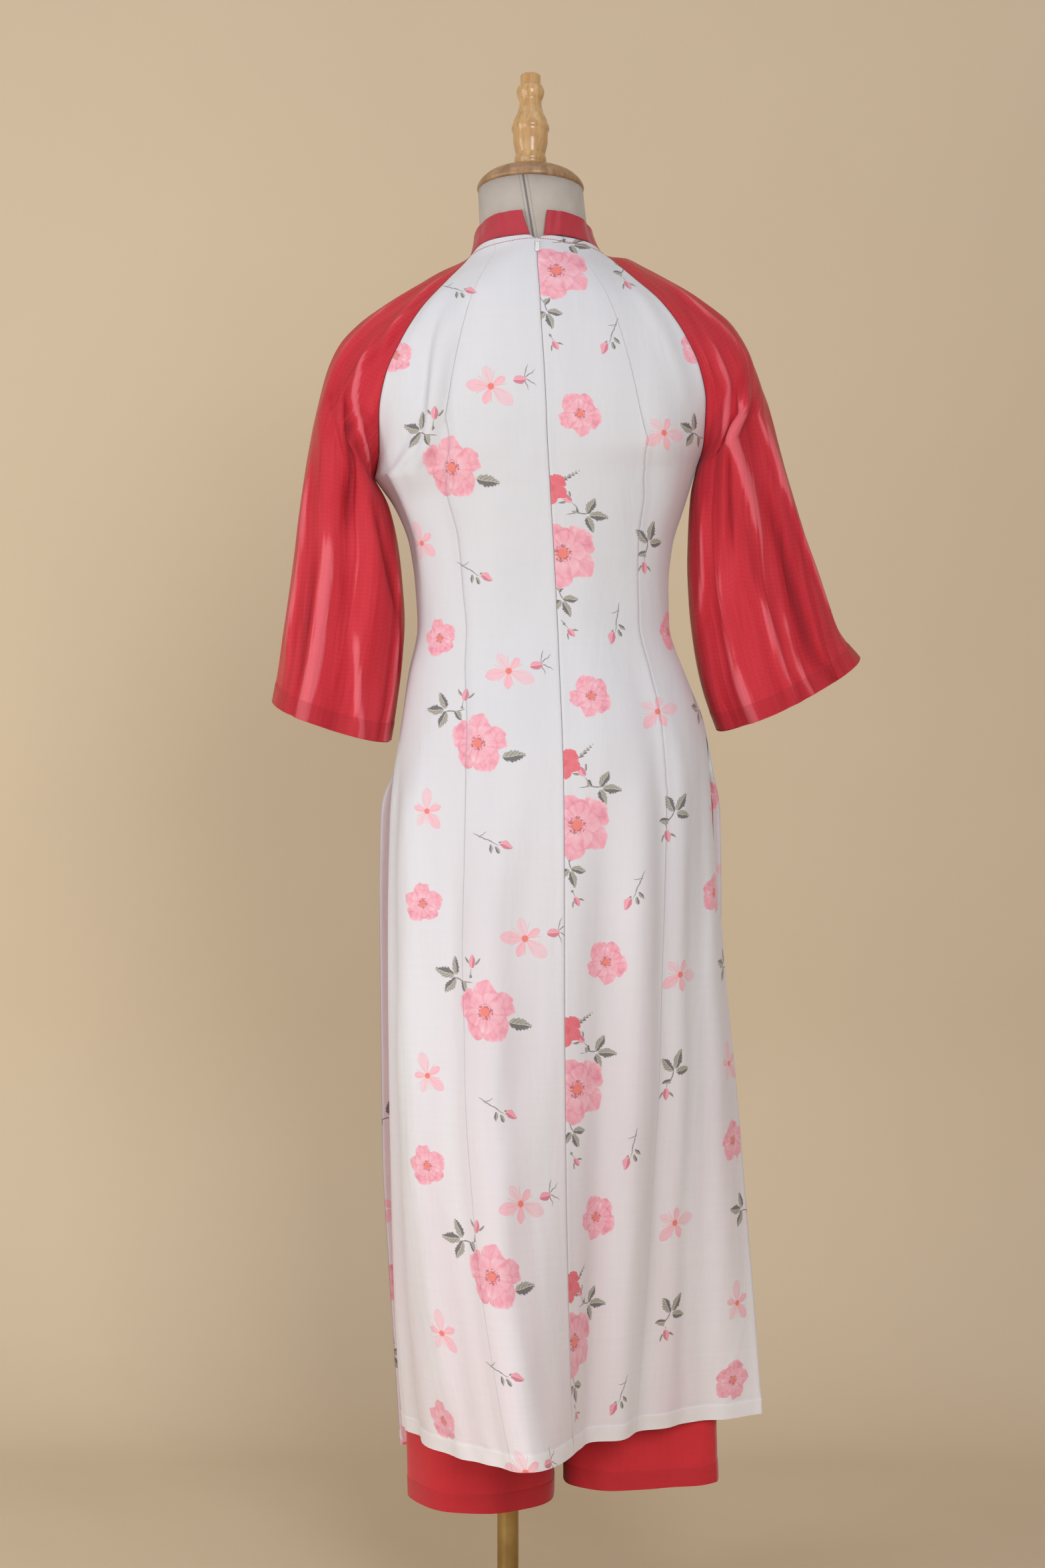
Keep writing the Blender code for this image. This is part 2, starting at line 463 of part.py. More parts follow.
def between_rows(rows, at, corners=()):
    """Control points at fractional rows, on a smooth curve through the table rows. The two control points
    nearest the outer edge turn a corner at some rows."""
    at = np.clip(np.asarray(at, float), 0, len(rows) - 1)
    low = np.minimum(at.astype(int), len(rows) - 2)
    t = (at - low)[:, None, None]
    leave = row_slopes(rows)
    reach = leave.copy()
    for corner in corners:
        leave[corner, :2] = rows[corner + 1, :2] - rows[corner, :2]
        reach[corner, :2] = rows[corner, :2] - rows[corner - 1, :2]
    t2, t3 = t * t, t * t * t
    return (
        (2 * t3 - 3 * t2 + 1) * rows[low]
        + (t3 - 2 * t2 + t) * leave[low]
        + (3 * t2 - 2 * t3) * rows[low + 1]
        + (t3 - t2) * reach[low + 1]
    )


def rows_at(stops, counts):
    """Fractional rows from stop to stop, evenly placed in each stretch."""
    parts = [np.linspace(a, b, count + 1)[:-1] for a, b, count in zip(stops, stops[1:], counts)]
    return np.append(np.concatenate(parts), stops[-1])


def along_row(points, u):
    """Points of each row's cubic curve, u from 0 to 1 across."""
    u = np.asarray(u, float)[None, :, None]
    p0, p1, p2, p3 = (points[:, None, i, :] for i in range(4))
    return (1 - u) ** 3 * p0 + 3 * u * (1 - u) ** 2 * p1 + 3 * u * u * (1 - u) * p2 + u ** 3 * p3


class Sheet:
    """A grid of points with the ways in which it leaves its first column and reaches its last one. Its outer
    edge is sewn to one neighbour between the two rows called sewn, and turns a corner at each."""

    def __init__(self, grid, first_way, last_way, sewn=(0, -1)):
        self.grid, self.first_way, self.last_way, self.sewn = grid, first_way, last_way, sewn

    def turned_round(self):
        return Sheet(self.grid[:, ::-1], -self.last_way, -self.first_way, self.sewn)

    def out(self):
        """The outward normals. At a seam they follow the sheet's own run, so that neighbours agree."""
        across, down = np.gradient(self.grid, axis=1), np.gradient(self.grid, axis=0)
        across[:, 0], across[:, -1] = self.first_way, self.last_way
        top, end = self.sewn
        down[top] = self.grid[top + 1] - self.grid[top]
        down[end] = self.grid[end] - self.grid[end - 1]
        return unit(np.cross(down, across))


def span(rows, row_at, columns, corners=(), sewn=(0, -1)):
    """The sheet of a piece, its points evenly placed across each row."""
    points = between_rows(rows, row_at, corners)
    grid = along_row(points, np.linspace(0, 1, columns))
    return Sheet(grid, points[:, 1] - points[:, 0], points[:, 3] - points[:, 2], sewn)


def add_folds(sheet, row_at, folds, last_row):
    """Moves a sheet out along its normals by its folds. Seam edges stay where they are."""
    grid, out = sheet.grid, sheet.out()
    u = np.linspace(0, 1, grid.shape[1])[None, :]
    row = np.asarray(row_at, float)[:, None]
    lift = np.zeros(grid.shape[:2])
    for fold in folds:
        share = (row - fold.row_top) / (fold.row_end - fold.row_top)
        centre = fold.u_top + (fold.u_end - fold.u_top) * share
        grow = smooth_step(share / 0.4)
        fade = 1.0 if fold.row_end >= last_row else smooth_step((1 - share) / 0.4)
        lift += fold.height * grow * fade * np.exp(-(((u - centre) / fold.width) ** 2))
    lift *= smooth_step(u / 0.12) * smooth_step((1 - u) / 0.12)
    return Sheet(grid + out * lift[:, :, None], sheet.first_way, sheet.last_way, sheet.sewn)


def cloth(name, sheet, wall, material, sides=HALF_GAP, top=0.0):
    """A solid sheet of cloth whose outer face is the given sheet. Its sides and top are drawn in by the
    given amounts, so that neighbours stay clear of each other at their seams."""
    outer = sheet.grid.copy()
    outer[:, 0] += unit(sheet.first_way) * sides
    outer[:, -1] -= unit(sheet.last_way) * sides
    outer[0] += unit(sheet.grid[1] - sheet.grid[0]) * top
    inner = outer - sheet.out() * wall
    rows, columns = outer.shape[:2]
    bm = bmesh.new()
    bmesh.ops.create_grid(bm, x_segments=columns - 1, y_segments=rows - 1, size=0.5)
    place = bm.verts.layers.int.new("place")
    for number, (vertex, point) in enumerate(zip(bm.verts, outer.reshape(-1, 3))):
        vertex[place], vertex.co = number, point
    made = bmesh.ops.extrude_face_region(bm, geom=bm.faces[:], use_keep_orig=True)["geom"]
    inside = inner.reshape(-1, 3)
    for vertex in made:
        if isinstance(vertex, bmesh.types.BMVert):
            vertex.co = inside[vertex[place]]
    bmesh.ops.triangulate(bm, faces=bm.faces)
    bmesh.ops.recalc_face_normals(bm, faces=bm.faces)
    mesh = bpy.data.meshes.new(name)
    bm.to_mesh(mesh)
    bm.free()
    mesh.shade_smooth()
    mesh.set_sharp_from_angle(angle=radians(50))
    return add_object(name, mesh, material)


def make_tunic_back(material):
    at = rows_at((0, UNDERARM_ROW, SLIT_ROW, TUNIC_LAST_ROW), (YOKE_ROWS, WAIST_ROWS, FLAP_ROWS))
    corners, sewn = (UNDERARM_ROW, SLIT_ROW), (YOKE_ROWS, YOKE_ROWS + WAIST_ROWS)
    left = span(back_rows(-1), at, BACK_COLUMNS, corners, sewn)
    left = add_folds(left, at, BACK_LEFT_FOLDS, TUNIC_LAST_ROW)
    cloth("tunic_back_left", left, TUNIC_CLOTH, material, top=SEAM_GAP)
    right = span(back_rows(1), at, BACK_COLUMNS, corners, sewn).turned_round()
    right = add_folds(right, at, BACK_RIGHT_FOLDS, TUNIC_LAST_ROW)
    cloth("tunic_back_right", right, TUNIC_CLOTH, material, top=SEAM_GAP)


def make_tunic_front(material):
    at = rows_at((0, UNDERARM_ROW, SLIT_ROW, TUNIC_LAST_ROW), (YOKE_ROWS, WAIST_ROWS, FLAP_ROWS))
    corners, sewn = (UNDERARM_ROW, SLIT_ROW), (YOKE_ROWS, YOKE_ROWS + WAIST_ROWS)
    half = FRONT_COLUMNS // 2 + 1
    right = span(front_rows(1), at, half, corners, sewn)
    left = span(front_rows(-1), at, half, corners, sewn).turned_round()
    whole = np.concatenate([right.grid, left.grid[:, 1:]], axis=1)
    front = Sheet(whole, right.first_way, left.last_way, sewn)
    front = add_folds(front, at, FRONT_FOLDS, TUNIC_LAST_ROW)
    cloth("tunic_front", front, TUNIC_CLOTH, material, top=SEAM_GAP)


def make_sleeves(material):
    at = rows_at((0, UNDERARM_ROW, SLEEVE_LAST_ROW), (YOKE_ROWS, SLEEVE_ROWS))
    pieces = (
        ("sleeve_back_left", -1, False, LEFT_SLEEVE_BACK_FOLDS),
        ("sleeve_front_left", -1, True, SLEEVE_FRONT_FOLDS),
        ("sleeve_back_right", 1, False, RIGHT_SLEEVE_BACK_FOLDS),
        ("sleeve_front_right", 1, True, SLEEVE_FRONT_FOLDS),
    )
    for name, side, front, folds in pieces:
        sleeve = span(sleeve_rows(side, front), at, SLEEVE_COLUMNS, (UNDERARM_ROW,), (YOKE_ROWS, -1))
        sleeve.first_way[at > UNDERARM_ROW, 2] = 0.0
        sleeve.last_way[at > UNDERARM_ROW, 2] = 0.0
        if (side < 0) != front:
            sleeve = sleeve.turned_round()
        sleeve = add_folds(sleeve, at, folds, SLEEVE_LAST_ROW)
        cloth(name, sleeve, SLEEVE_CLOTH, material, top=SEAM_GAP)


def make_trousers(material):
    at = np.linspace(0, len(LEGS) - 1, TROUSER_ROWS)
    for name, side, front in (
        ("trouser_back_left", -1, False),
        ("trouser_back_right", 1, False),
        ("trouser_front_left", -1, True),
        ("trouser_front_right", 1, True),
    ):
        panel = span(trouser_rows(side, front), at, TROUSER_COLUMNS)
        if (side > 0) != front:
            panel = panel.turned_round()
        panel = add_folds(panel, at, TROUSER_FOLDS, len(LEGS) - 1)
        cloth(name, panel, TROUSER_CLOTH, material)


def make_waistband(material):
    """A closed band round the top of the trousers."""
    quarters = [
        trouser_rows(-1, False)[0], trouser_rows(1, False)[0][::-1],
        trouser_rows(1, True)[0], trouser_rows(-1, True)[0][::-1],
    ]
    loop = np.concatenate([along_row(q[None], np.linspace(0, 1, 8))[0, :-1] for q in quarters])
    bm = bmesh.new()
    ring = [bm.verts.new(p) for p in loop]
    edges = [bm.edges.new((a, b)) for a, b in zip(ring, ring[1:] + ring[:1])]
    made = bmesh.ops.extrude_edge_only(bm, edges=edges)["geom"]
    above = [v for v in made if isinstance(v, bmesh.types.BMVert)]
    for vertex in ring:
        vertex.co.z = LEGS[0].seam_z + SEAM_GAP
    for vertex in above:
        vertex.co.z = WAISTBAND_TOP
    bmesh.ops.recalc_face_normals(bm, faces=bm.faces)
    mesh = bpy.data.meshes.new("trouser_waistband")
    bm.to_mesh(mesh)
    bm.free()
    mesh.shade_smooth()
    band = add_object("trouser_waistband", mesh, material)
    thicken = band.modifiers.new("Cloth", "SOLIDIFY")
    thicken.thickness = WAISTBAND_WALL
    thicken.offset = -1.0


def make_collar(material):
    """A stand collar, open in a notch at the centre back."""
    count, levels = 27, 4
    grid = np.zeros((levels, count, 3))
    for level in range(levels):
        share = level / (levels - 1)
        notch = COLLAR_TOP_NOTCH_AT + (NOTCH_AT - COLLAR_TOP_NOTCH_AT) * share
        lean = share ** 1.4
        for column, degrees in enumerate(np.linspace(notch, 360 - notch, count)):
            seam, a = neck_point(degrees), radians(degrees)
            top_x = COLLAR_TOP_X + COLLAR_TOP_HALF_WIDTH * sin(a)
            top_y = COLLAR_TOP_Y - COLLAR_TOP_HALF_DEPTH * cos(a)
            grid[level, column] = (
                top_x + (seam[0] - top_x) * lean,
                top_y + (seam[1] - top_y) * lean,
                seam[2] + COLLAR_HEIGHT * (1 - share) + SEAM_GAP * 1.5,
            )
    cloth("collar", Sheet(grid, grid[:, 1] - grid[:, 0], grid[:, -1] - grid[:, -2]), COLLAR_CLOTH, material)


def make_torso(material):
    """The padded body of the dress form, one closed skin over its rings."""
    bm = bmesh.new()
    rings = []
    for ring in TORSO:
        loop = []
        for step in range(TORSO_SIDES):
            a = 2 * pi * step / TORSO_SIDES
            wide = abs(sin(a)) ** (2 / ring.square) * (1 if sin(a) >= 0 else -1)
            deep = abs(cos(a)) ** (2 / ring.square) * (-1 if cos(a) >= 0 else 1)
            mid, half_depth = (ring.back + ring.front) / 2, (ring.front - ring.back) / 2
            y = mid + half_depth * deep
            loop.append(bm.verts.new((ring.x + ring.half * wide, y, ring.z - ring.slope * (y - mid))))
        rings.append([bm.edges.new((p, q)) for p, q in zip(loop, loop[1:] + loop[:1])])
    for below, above in zip(rings, rings[1:]):
        bmesh.ops.bridge_loops(bm, edges=below + above)
    bmesh.ops.contextual_create(bm, geom=rings[0])
    bmesh.ops.contextual_create(bm, geom=rings[-1])
    bmesh.ops.recalc_face_normals(bm, faces=bm.faces)
    mesh = bpy.data.meshes.new("form_torso")
    bm.to_mesh(mesh)
    bm.free()
    mesh.shade_smooth()
    mesh.set_sharp_from_angle(angle=radians(50))
    add_object("form_torso", mesh, material)


def turned(name, profile, material, sides=TURNED_SIDES):
    """A round piece turned about its own Z axis."""
    bm = bmesh.new()
    line = [bm.verts.new((turn.radius, 0.0, turn.height)) for turn in profile]
    edges = [bm.edges.new(pair) for pair in zip(line, line[1:])]
    bmesh.ops.spin(
        bm, geom=line + edges, cent=(0, 0, 0), axis=(0, 0, 1), angle=2 * pi, steps=sides, use_merge=True
    )
    bmesh.ops.remove_doubles(bm, verts=bm.verts, dist=1e-6)
    bmesh.ops.recalc_face_normals(bm, faces=bm.faces)
    mesh = bpy.data.meshes.new(name)
    bm.to_mesh(mesh)
    bm.free()
    mesh.shade_smooth()
    mesh.set_sharp_from_angle(angle=radians(40))
    return add_object(name, mesh, material)


def make_stand(wood, brass, steel):
    """Neck cap and knob on the form's neck, and the pole and base plate under it."""
    tilt = Matrix.Rotation(radians(-NECK_TILT), 4, "X")
    cap = turned("neck_cap", CAP_PROFILE, wood)
    cap.matrix_world = Matrix.Translation((CAP_X, CAP_Y, CAP_Z)) @ tilt
    knob = turned("neck_knob", FINIAL_PROFILE, wood)
    knob.matrix_world = cap.matrix_world @ Matrix.Translation((0, 0, FINIAL_BASE_Z))
    pole_bottom, pole_top = BOSS_HEIGHT + SEAM_GAP, TORSO[0].z - SEAM_GAP
    turned(
        "pole",
        (Turn(0, pole_bottom), Turn(POLE_RADIUS, pole_bottom), Turn(POLE_RADIUS, pole_top), Turn(0, pole_top)),
        brass,
    )
    edge = 0.003
    turned(
        "base_plate",
        (
            Turn(0, 0), Turn(BASE_RADIUS - edge, 0), Turn(BASE_RADIUS, edge), Turn(BASE_RADIUS, BASE_THICK - edge),
            Turn(BASE_RADIUS - edge, BASE_THICK), Turn(BOSS_RADIUS + edge, BASE_THICK),
            Turn(BOSS_RADIUS, BASE_THICK + edge), Turn(BOSS_RADIUS, BOSS_HEIGHT - 0.001),
            Turn(BOSS_RADIUS - 0.001, BOSS_HEIGHT), Turn(0, BOSS_HEIGHT),
        ),
        steel,
        sides=32,
    )


def slider_frame():
    """Where the zip's slider sits: across, up the seam, and out of the cloth, at the centre back seam."""
    upper, lower = YOKE[0], YOKE[1]
    top = np.array([upper.centre_x, upper.centre_y, upper.centre_z])
    down = np.array([top[0], lower.centre_y, lower.centre_z]) - top
    up = Vector(-unit(down))
    across = Vector((1, 0, 0))
    out = across.cross(up)
    share = (SLIDER_Z - upper.centre_z) / (lower.centre_z - upper.centre_z)
    place = Vector(top + down * share) + out * SLIDER_LIFT
    frame = Matrix((across, up, out)).transposed().to_4x4()
    return Matrix.Translation(place) @ frame


def boxed(bm, low, high):
    """Adds a closed box between two corners."""
    made = bmesh.ops.create_cube(bm, size=1.0)["verts"]
    low, high = Vector(low), Vector(high)
    for vertex in made:
        vertex.co = (low + high) / 2 + Vector(a * b for a, b in zip(vertex.co, high - low))


def make_zip(metal):
    """The slider with its bail, and the drop-shaped pull that hangs on the bail."""
    frame = slider_frame()
    bm = bmesh.new()
    boxed(bm, (-SLIDER_HALF_WIDTH, -SLIDER_HALF_LENGTH, 0), (SLIDER_HALF_WIDTH, SLIDER_HALF_LENGTH, SLIDER_THICK))
    mesh = bpy.data.meshes.new("zip_slider")
    bm.to_mesh(mesh)
    bm.free()
    slider = add_object("zip_slider", mesh, metal)
    slider.matrix_world = frame
    arch = bmesh.new()
    top = SLIDER_THICK + BAIL_HEIGHT
    sunk = SLIDER_THICK / 2
    outline = (
        (-BAIL_HALF_LENGTH - BAIL_BAR / 2, sunk), (-BAIL_HALF_LENGTH - BAIL_BAR / 2, top - BAIL_BAR),
        (-BAIL_HALF_LENGTH + BAIL_BAR / 2, top), (BAIL_HALF_LENGTH - BAIL_BAR / 2, top),
        (BAIL_HALF_LENGTH + BAIL_BAR / 2, top - BAIL_BAR), (BAIL_HALF_LENGTH + BAIL_BAR / 2, sunk),
        (BAIL_HALF_LENGTH - BAIL_BAR / 2, sunk), (BAIL_HALF_LENGTH - BAIL_BAR / 2, top - BAIL_BAR),
        (-BAIL_HALF_LENGTH + BAIL_BAR / 2, top - BAIL_BAR), (-BAIL_HALF_LENGTH + BAIL_BAR / 2, sunk),
    )
    face = arch.faces.new([arch.verts.new((-BAIL_HALF_WIDTH, y, z)) for y, z in outline])
    made = bmesh.ops.extrude_face_region(arch, geom=[face])["geom"]
    for vertex in made:
        if isinstance(vertex, bmesh.types.BMVert):
            vertex.co.x = BAIL_HALF_WIDTH
    bmesh.ops.triangulate(arch, faces=arch.faces)
    bmesh.ops.recalc_face_normals(arch, faces=arch.faces)
    bail_mesh = bpy.data.meshes.new("bail")
    arch.to_mesh(bail_mesh)
    arch.free()
    bail = add_object("bail", bail_mesh, metal)
    bail.matrix_world = frame
    bail.hide_render = True
    bail.display_type = "WIRE"
    join = slider.modifiers.new("Bail", "BOOLEAN")
    join.operation = "UNION"
    join.object = bail

    outer, inner = pull_outline()
    curve = bpy.data.curves.new("zip_pull", "CURVE")
    curve.dimensions = "2D"
    curve.fill_mode = "BOTH"
    curve.extrude = PULL_THICK / 2
    for outline in (outer, inner):
        spline = curve.splines.new("POLY")
        spline.points.add(len(outline) - 1)
        for point, (x, y) in zip(spline.points, outline):
            point.co = (x, y, 0, 1)
        spline.use_cyclic_u = True
    pull = add_object("zip_pull", curve, metal)
    hinge = Matrix.Translation((0, 0, SLIDER_THICK + PULL_AXIS_HEIGHT))
    pull.matrix_world = frame @ hinge @ Matrix.Rotation(radians(PULL_TILT), 4, "X")


def pull_outline():
    """The pull's outer edge and the eye that the bail passes through; y runs down from the hinge axis."""
    half_bar = PULL_THICK / 2
    eye_half, eye_end = 0.0009, -0.0029
    outer = [(-0.0016, half_bar), (0.0016, half_bar), (0.0016, eye_end)]
    drop_y, drop_radius = -PULL_LENGTH + 0.0023, 0.0023
    for degrees in range(0, -181, -20):
        a = radians(degrees)
        outer.append((drop_radius * cos(a), drop_y + drop_radius * sin(a)))
    outer.append((-0.0016, eye_end))
    inner = [(-eye_half, -half_bar), (-eye_half, eye_end), (eye_half, eye_end), (eye_half, -half_bar)]
    return outer, inner


clear_scene()
printed_white = finish("printed_white", (0.80, 0.77, 0.79), 0.55)
red_organza = finish("red_organza", (0.64, 0.045, 0.06), 0.40)
red_crepe = finish("red_crepe", (0.50, 0.022, 0.03), 0.75)
collar_red = finish("collar_red", (0.44, 0.035, 0.055), 0.55)
linen = finish("linen", (0.46, 0.41, 0.36), 0.85)
beech = finish("beech", (0.50, 0.30, 0.13), 0.40)
brass = finish("brass", (0.62, 0.44, 0.18), 0.30, 1.0)
base_steel = finish("base_steel", (0.05, 0.05, 0.055), 0.45, 0.8)
zip_metal = finish("zip_metal", (0.80, 0.80, 0.80), 0.35, 0.6)

make_torso(linen)
make_stand(beech, brass, base_steel)
make_trousers(red_crepe)
make_waistband(red_crepe)
make_tunic_front(printed_white)
make_tunic_back(printed_white)
make_sleeves(red_organza)
make_collar(collar_red)
make_zip(zip_metal)
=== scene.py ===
"""The looks of an ao dai on a dress form, seen from the back in a photo studio.

Metres, +Z up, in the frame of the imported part. The garment's back faces -Y and the camera looks along +Y.
"""

import json
from collections import namedtuple
from math import cos, pi, radians, sin, tan

import bmesh
import bpy
import numpy as np
from mathutils import Matrix, Vector, noise
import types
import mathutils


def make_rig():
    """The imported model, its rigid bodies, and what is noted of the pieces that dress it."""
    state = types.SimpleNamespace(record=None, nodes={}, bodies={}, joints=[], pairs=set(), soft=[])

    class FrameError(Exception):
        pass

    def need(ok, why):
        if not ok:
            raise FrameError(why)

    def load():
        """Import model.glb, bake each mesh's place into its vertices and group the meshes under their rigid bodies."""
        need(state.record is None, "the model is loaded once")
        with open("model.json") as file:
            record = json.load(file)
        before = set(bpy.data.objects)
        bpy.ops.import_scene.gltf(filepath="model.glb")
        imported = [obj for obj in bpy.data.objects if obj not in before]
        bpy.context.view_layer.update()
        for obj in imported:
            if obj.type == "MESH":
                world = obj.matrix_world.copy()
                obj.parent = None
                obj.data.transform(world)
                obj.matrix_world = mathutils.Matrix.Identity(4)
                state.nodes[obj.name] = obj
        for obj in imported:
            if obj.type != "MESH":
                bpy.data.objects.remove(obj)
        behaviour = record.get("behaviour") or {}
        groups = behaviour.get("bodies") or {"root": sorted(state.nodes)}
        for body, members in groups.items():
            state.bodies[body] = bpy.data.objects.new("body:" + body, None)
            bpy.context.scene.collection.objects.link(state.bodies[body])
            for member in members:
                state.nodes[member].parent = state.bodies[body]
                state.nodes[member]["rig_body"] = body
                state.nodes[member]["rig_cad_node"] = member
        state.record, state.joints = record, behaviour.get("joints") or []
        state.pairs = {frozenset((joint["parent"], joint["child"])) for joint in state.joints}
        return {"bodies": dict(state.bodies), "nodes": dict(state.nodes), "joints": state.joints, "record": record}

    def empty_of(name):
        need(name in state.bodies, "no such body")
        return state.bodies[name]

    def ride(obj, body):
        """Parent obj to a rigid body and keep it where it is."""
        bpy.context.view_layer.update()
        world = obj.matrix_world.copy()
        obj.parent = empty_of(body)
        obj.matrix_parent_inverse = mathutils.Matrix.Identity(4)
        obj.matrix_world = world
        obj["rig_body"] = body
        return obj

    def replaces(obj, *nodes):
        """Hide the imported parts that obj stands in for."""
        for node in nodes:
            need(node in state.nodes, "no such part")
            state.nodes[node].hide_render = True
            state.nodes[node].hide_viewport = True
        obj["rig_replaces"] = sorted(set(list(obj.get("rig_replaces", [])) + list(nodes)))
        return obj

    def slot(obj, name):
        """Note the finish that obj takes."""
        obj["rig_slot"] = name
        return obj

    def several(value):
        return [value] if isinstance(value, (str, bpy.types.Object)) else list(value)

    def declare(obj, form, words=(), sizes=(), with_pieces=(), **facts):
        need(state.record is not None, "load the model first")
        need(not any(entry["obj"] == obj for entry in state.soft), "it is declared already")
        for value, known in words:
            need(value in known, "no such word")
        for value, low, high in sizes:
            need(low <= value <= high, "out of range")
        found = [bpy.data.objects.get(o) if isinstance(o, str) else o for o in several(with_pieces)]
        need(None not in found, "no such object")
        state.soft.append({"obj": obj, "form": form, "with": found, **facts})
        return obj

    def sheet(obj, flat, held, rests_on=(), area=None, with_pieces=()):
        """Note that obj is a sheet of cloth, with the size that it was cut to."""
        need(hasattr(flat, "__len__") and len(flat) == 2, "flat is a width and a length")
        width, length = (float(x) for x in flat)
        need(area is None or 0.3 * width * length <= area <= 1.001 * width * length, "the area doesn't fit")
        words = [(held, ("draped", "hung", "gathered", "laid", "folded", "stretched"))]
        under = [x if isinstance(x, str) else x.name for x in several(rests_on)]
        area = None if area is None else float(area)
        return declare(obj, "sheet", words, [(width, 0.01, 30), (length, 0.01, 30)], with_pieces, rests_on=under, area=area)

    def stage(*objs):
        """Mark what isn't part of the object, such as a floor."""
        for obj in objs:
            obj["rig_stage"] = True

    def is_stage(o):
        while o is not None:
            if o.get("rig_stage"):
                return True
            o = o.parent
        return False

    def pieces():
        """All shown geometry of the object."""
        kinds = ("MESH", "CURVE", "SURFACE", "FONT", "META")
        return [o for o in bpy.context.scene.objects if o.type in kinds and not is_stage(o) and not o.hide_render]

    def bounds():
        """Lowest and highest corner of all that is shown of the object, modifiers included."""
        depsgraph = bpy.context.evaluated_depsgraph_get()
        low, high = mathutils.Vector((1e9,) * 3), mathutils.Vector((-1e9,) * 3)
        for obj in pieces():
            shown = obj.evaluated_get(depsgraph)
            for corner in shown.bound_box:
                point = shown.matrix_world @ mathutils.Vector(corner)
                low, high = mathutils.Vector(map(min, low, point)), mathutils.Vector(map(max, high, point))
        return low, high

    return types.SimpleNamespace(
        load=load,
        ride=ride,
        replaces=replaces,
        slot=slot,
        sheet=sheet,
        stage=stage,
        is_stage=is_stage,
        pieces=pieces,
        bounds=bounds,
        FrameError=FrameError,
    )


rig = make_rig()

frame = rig.load()
cad_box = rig.bounds()
scene = bpy.context.scene

# Studio: a seamless sweep of warm beige paper behind and under the form, large softboxes and a dim room. The
# key light stands a little right of the camera, so the form's own soft shadow falls just to the left. The
# paper can't be seen from behind, so the garment's front can be looked at too.
PAPER_BEHIND, PAPER_HALF_WIDTH, PAPER_FRONT, PAPER_TOP, SWEEP_RADIUS = 1.25, 4.0, -4.5, 4.2, 0.55


def new_material(name):
    """A material with its node tree, its Principled shader and its output."""
    made = bpy.data.materials.new(name)
    made.use_nodes = True
    tree = made.node_tree
    return made, tree, tree.nodes["Principled BSDF"], tree.nodes["Material Output"]


def wire(value, socket):
    """Puts a number, a colour or another node's output on an input socket."""
    if isinstance(value, bpy.types.NodeSocket):
        socket.id_data.links.new(value, socket)
    else:
        socket.default_value = value


def node(tree, kind, inputs=(), **settings):
    """Adds a node; inputs maps socket names or numbers to a value or to another node's output."""
    made = tree.nodes.new(kind)
    for key, value in settings.items():
        setattr(made, key, value)
    for key, value in dict(inputs).items():
        wire(value, made.inputs[key])
    return made


def math(operation, *values, clamp=False):
    """A Math node's output, in the tree that its inputs come from."""
    tree = next(value.id_data for value in values if isinstance(value, bpy.types.NodeSocket))
    return node(tree, "ShaderNodeMath", enumerate(values), operation=operation, use_clamp=clamp).outputs[0]


def times(*values, clamp=False):
    """The product of two sockets or numbers."""
    return math("MULTIPLY", *values, clamp=clamp)


def plus(*values, clamp=False):
    """Their sum."""
    return math("ADD", *values, clamp=clamp)


def minus(*values, clamp=False):
    """The first less the second."""
    return math("SUBTRACT", *values, clamp=clamp)


def times_plus(*values, clamp=False):
    """The product of the first two, and then the third added."""
    return math("MULTIPLY_ADD", *values, clamp=clamp)


def most(*values):
    """The greater of two."""
    return math("MAXIMUM", *values)


def size_of(value):
    """The value without its sign."""
    return math("ABSOLUTE", value)


def own_place(tree):
    """The object's own coordinates."""
    return node(tree, "ShaderNodeTexCoord").outputs["Object"]


def parts_of(vector):
    """The three parts of a vector."""
    return node(vector.id_data, "ShaderNodeSeparateXYZ", {0: vector}).outputs


def scaled(vector, *scale, turn=(0, 0, 0)):
    """The vector stretched along its axes, and turned."""
    return node(
        vector.id_data, "ShaderNodeMapping", {0: vector, "Scale": scale, "Rotation": turn}
    ).outputs[0]


def noisy(place, scale, detail, rough=0.5, bent=0.0, kind="FBM"):
    """A noise texture's value."""
    inputs = {"Vector": place, "Scale": scale, "Detail": detail, "Roughness": rough, "Distortion": bent}
    return node(place.id_data, "ShaderNodeTexNoise", inputs, noise_type=kind).outputs[0]


def bumped(shader, strength, distance, height):
    """Gives the shader a bump of the given height."""
    inputs = {"Strength": strength, "Distance": distance, "Height": height}
    wire(node(shader.id_data, "ShaderNodeBump", inputs).outputs[0], shader.inputs["Normal"])


def ramp(value, *stops):
    """A colour ramp's output; each stop is a position and a colour or a grey."""
    made = node(value.id_data, "ShaderNodeValToRGB", {0: value})
    bar = made.color_ramp.elements
    while len(bar) < len(stops):
        bar.new(1.0)
    for element, (place, colour) in zip(bar, stops):
        element.position = place
        element.color = (*colour, 1.0) if hasattr(colour, "__len__") else (colour, colour, colour, 1.0)
    return made.outputs[0]


def blend(share, first, second, kind="MIX"):
    """A colour mix's output."""
    colours = [(*c, 1.0) if isinstance(c, tuple) else c for c in (first, second)]
    return node(
        share.id_data, "ShaderNodeMix", {0: share, 6: colours[0], 7: colours[1]}, data_type="RGBA",
        blend_type=kind
    ).outputs[2]


def add_object(name, bm, material, smooth_angle=50.0):
    """Puts a bmesh in the scene as a smooth mesh at the origin."""
    mesh = bpy.data.meshes.new(name)
    bm.to_mesh(mesh)
    bm.free()
    mesh.materials.append(material)
    mesh.shade_smooth()
    mesh.set_sharp_from_angle(angle=radians(smooth_angle))
    made = bpy.data.objects.new(name, mesh)
    scene.collection.objects.link(made)
    return made


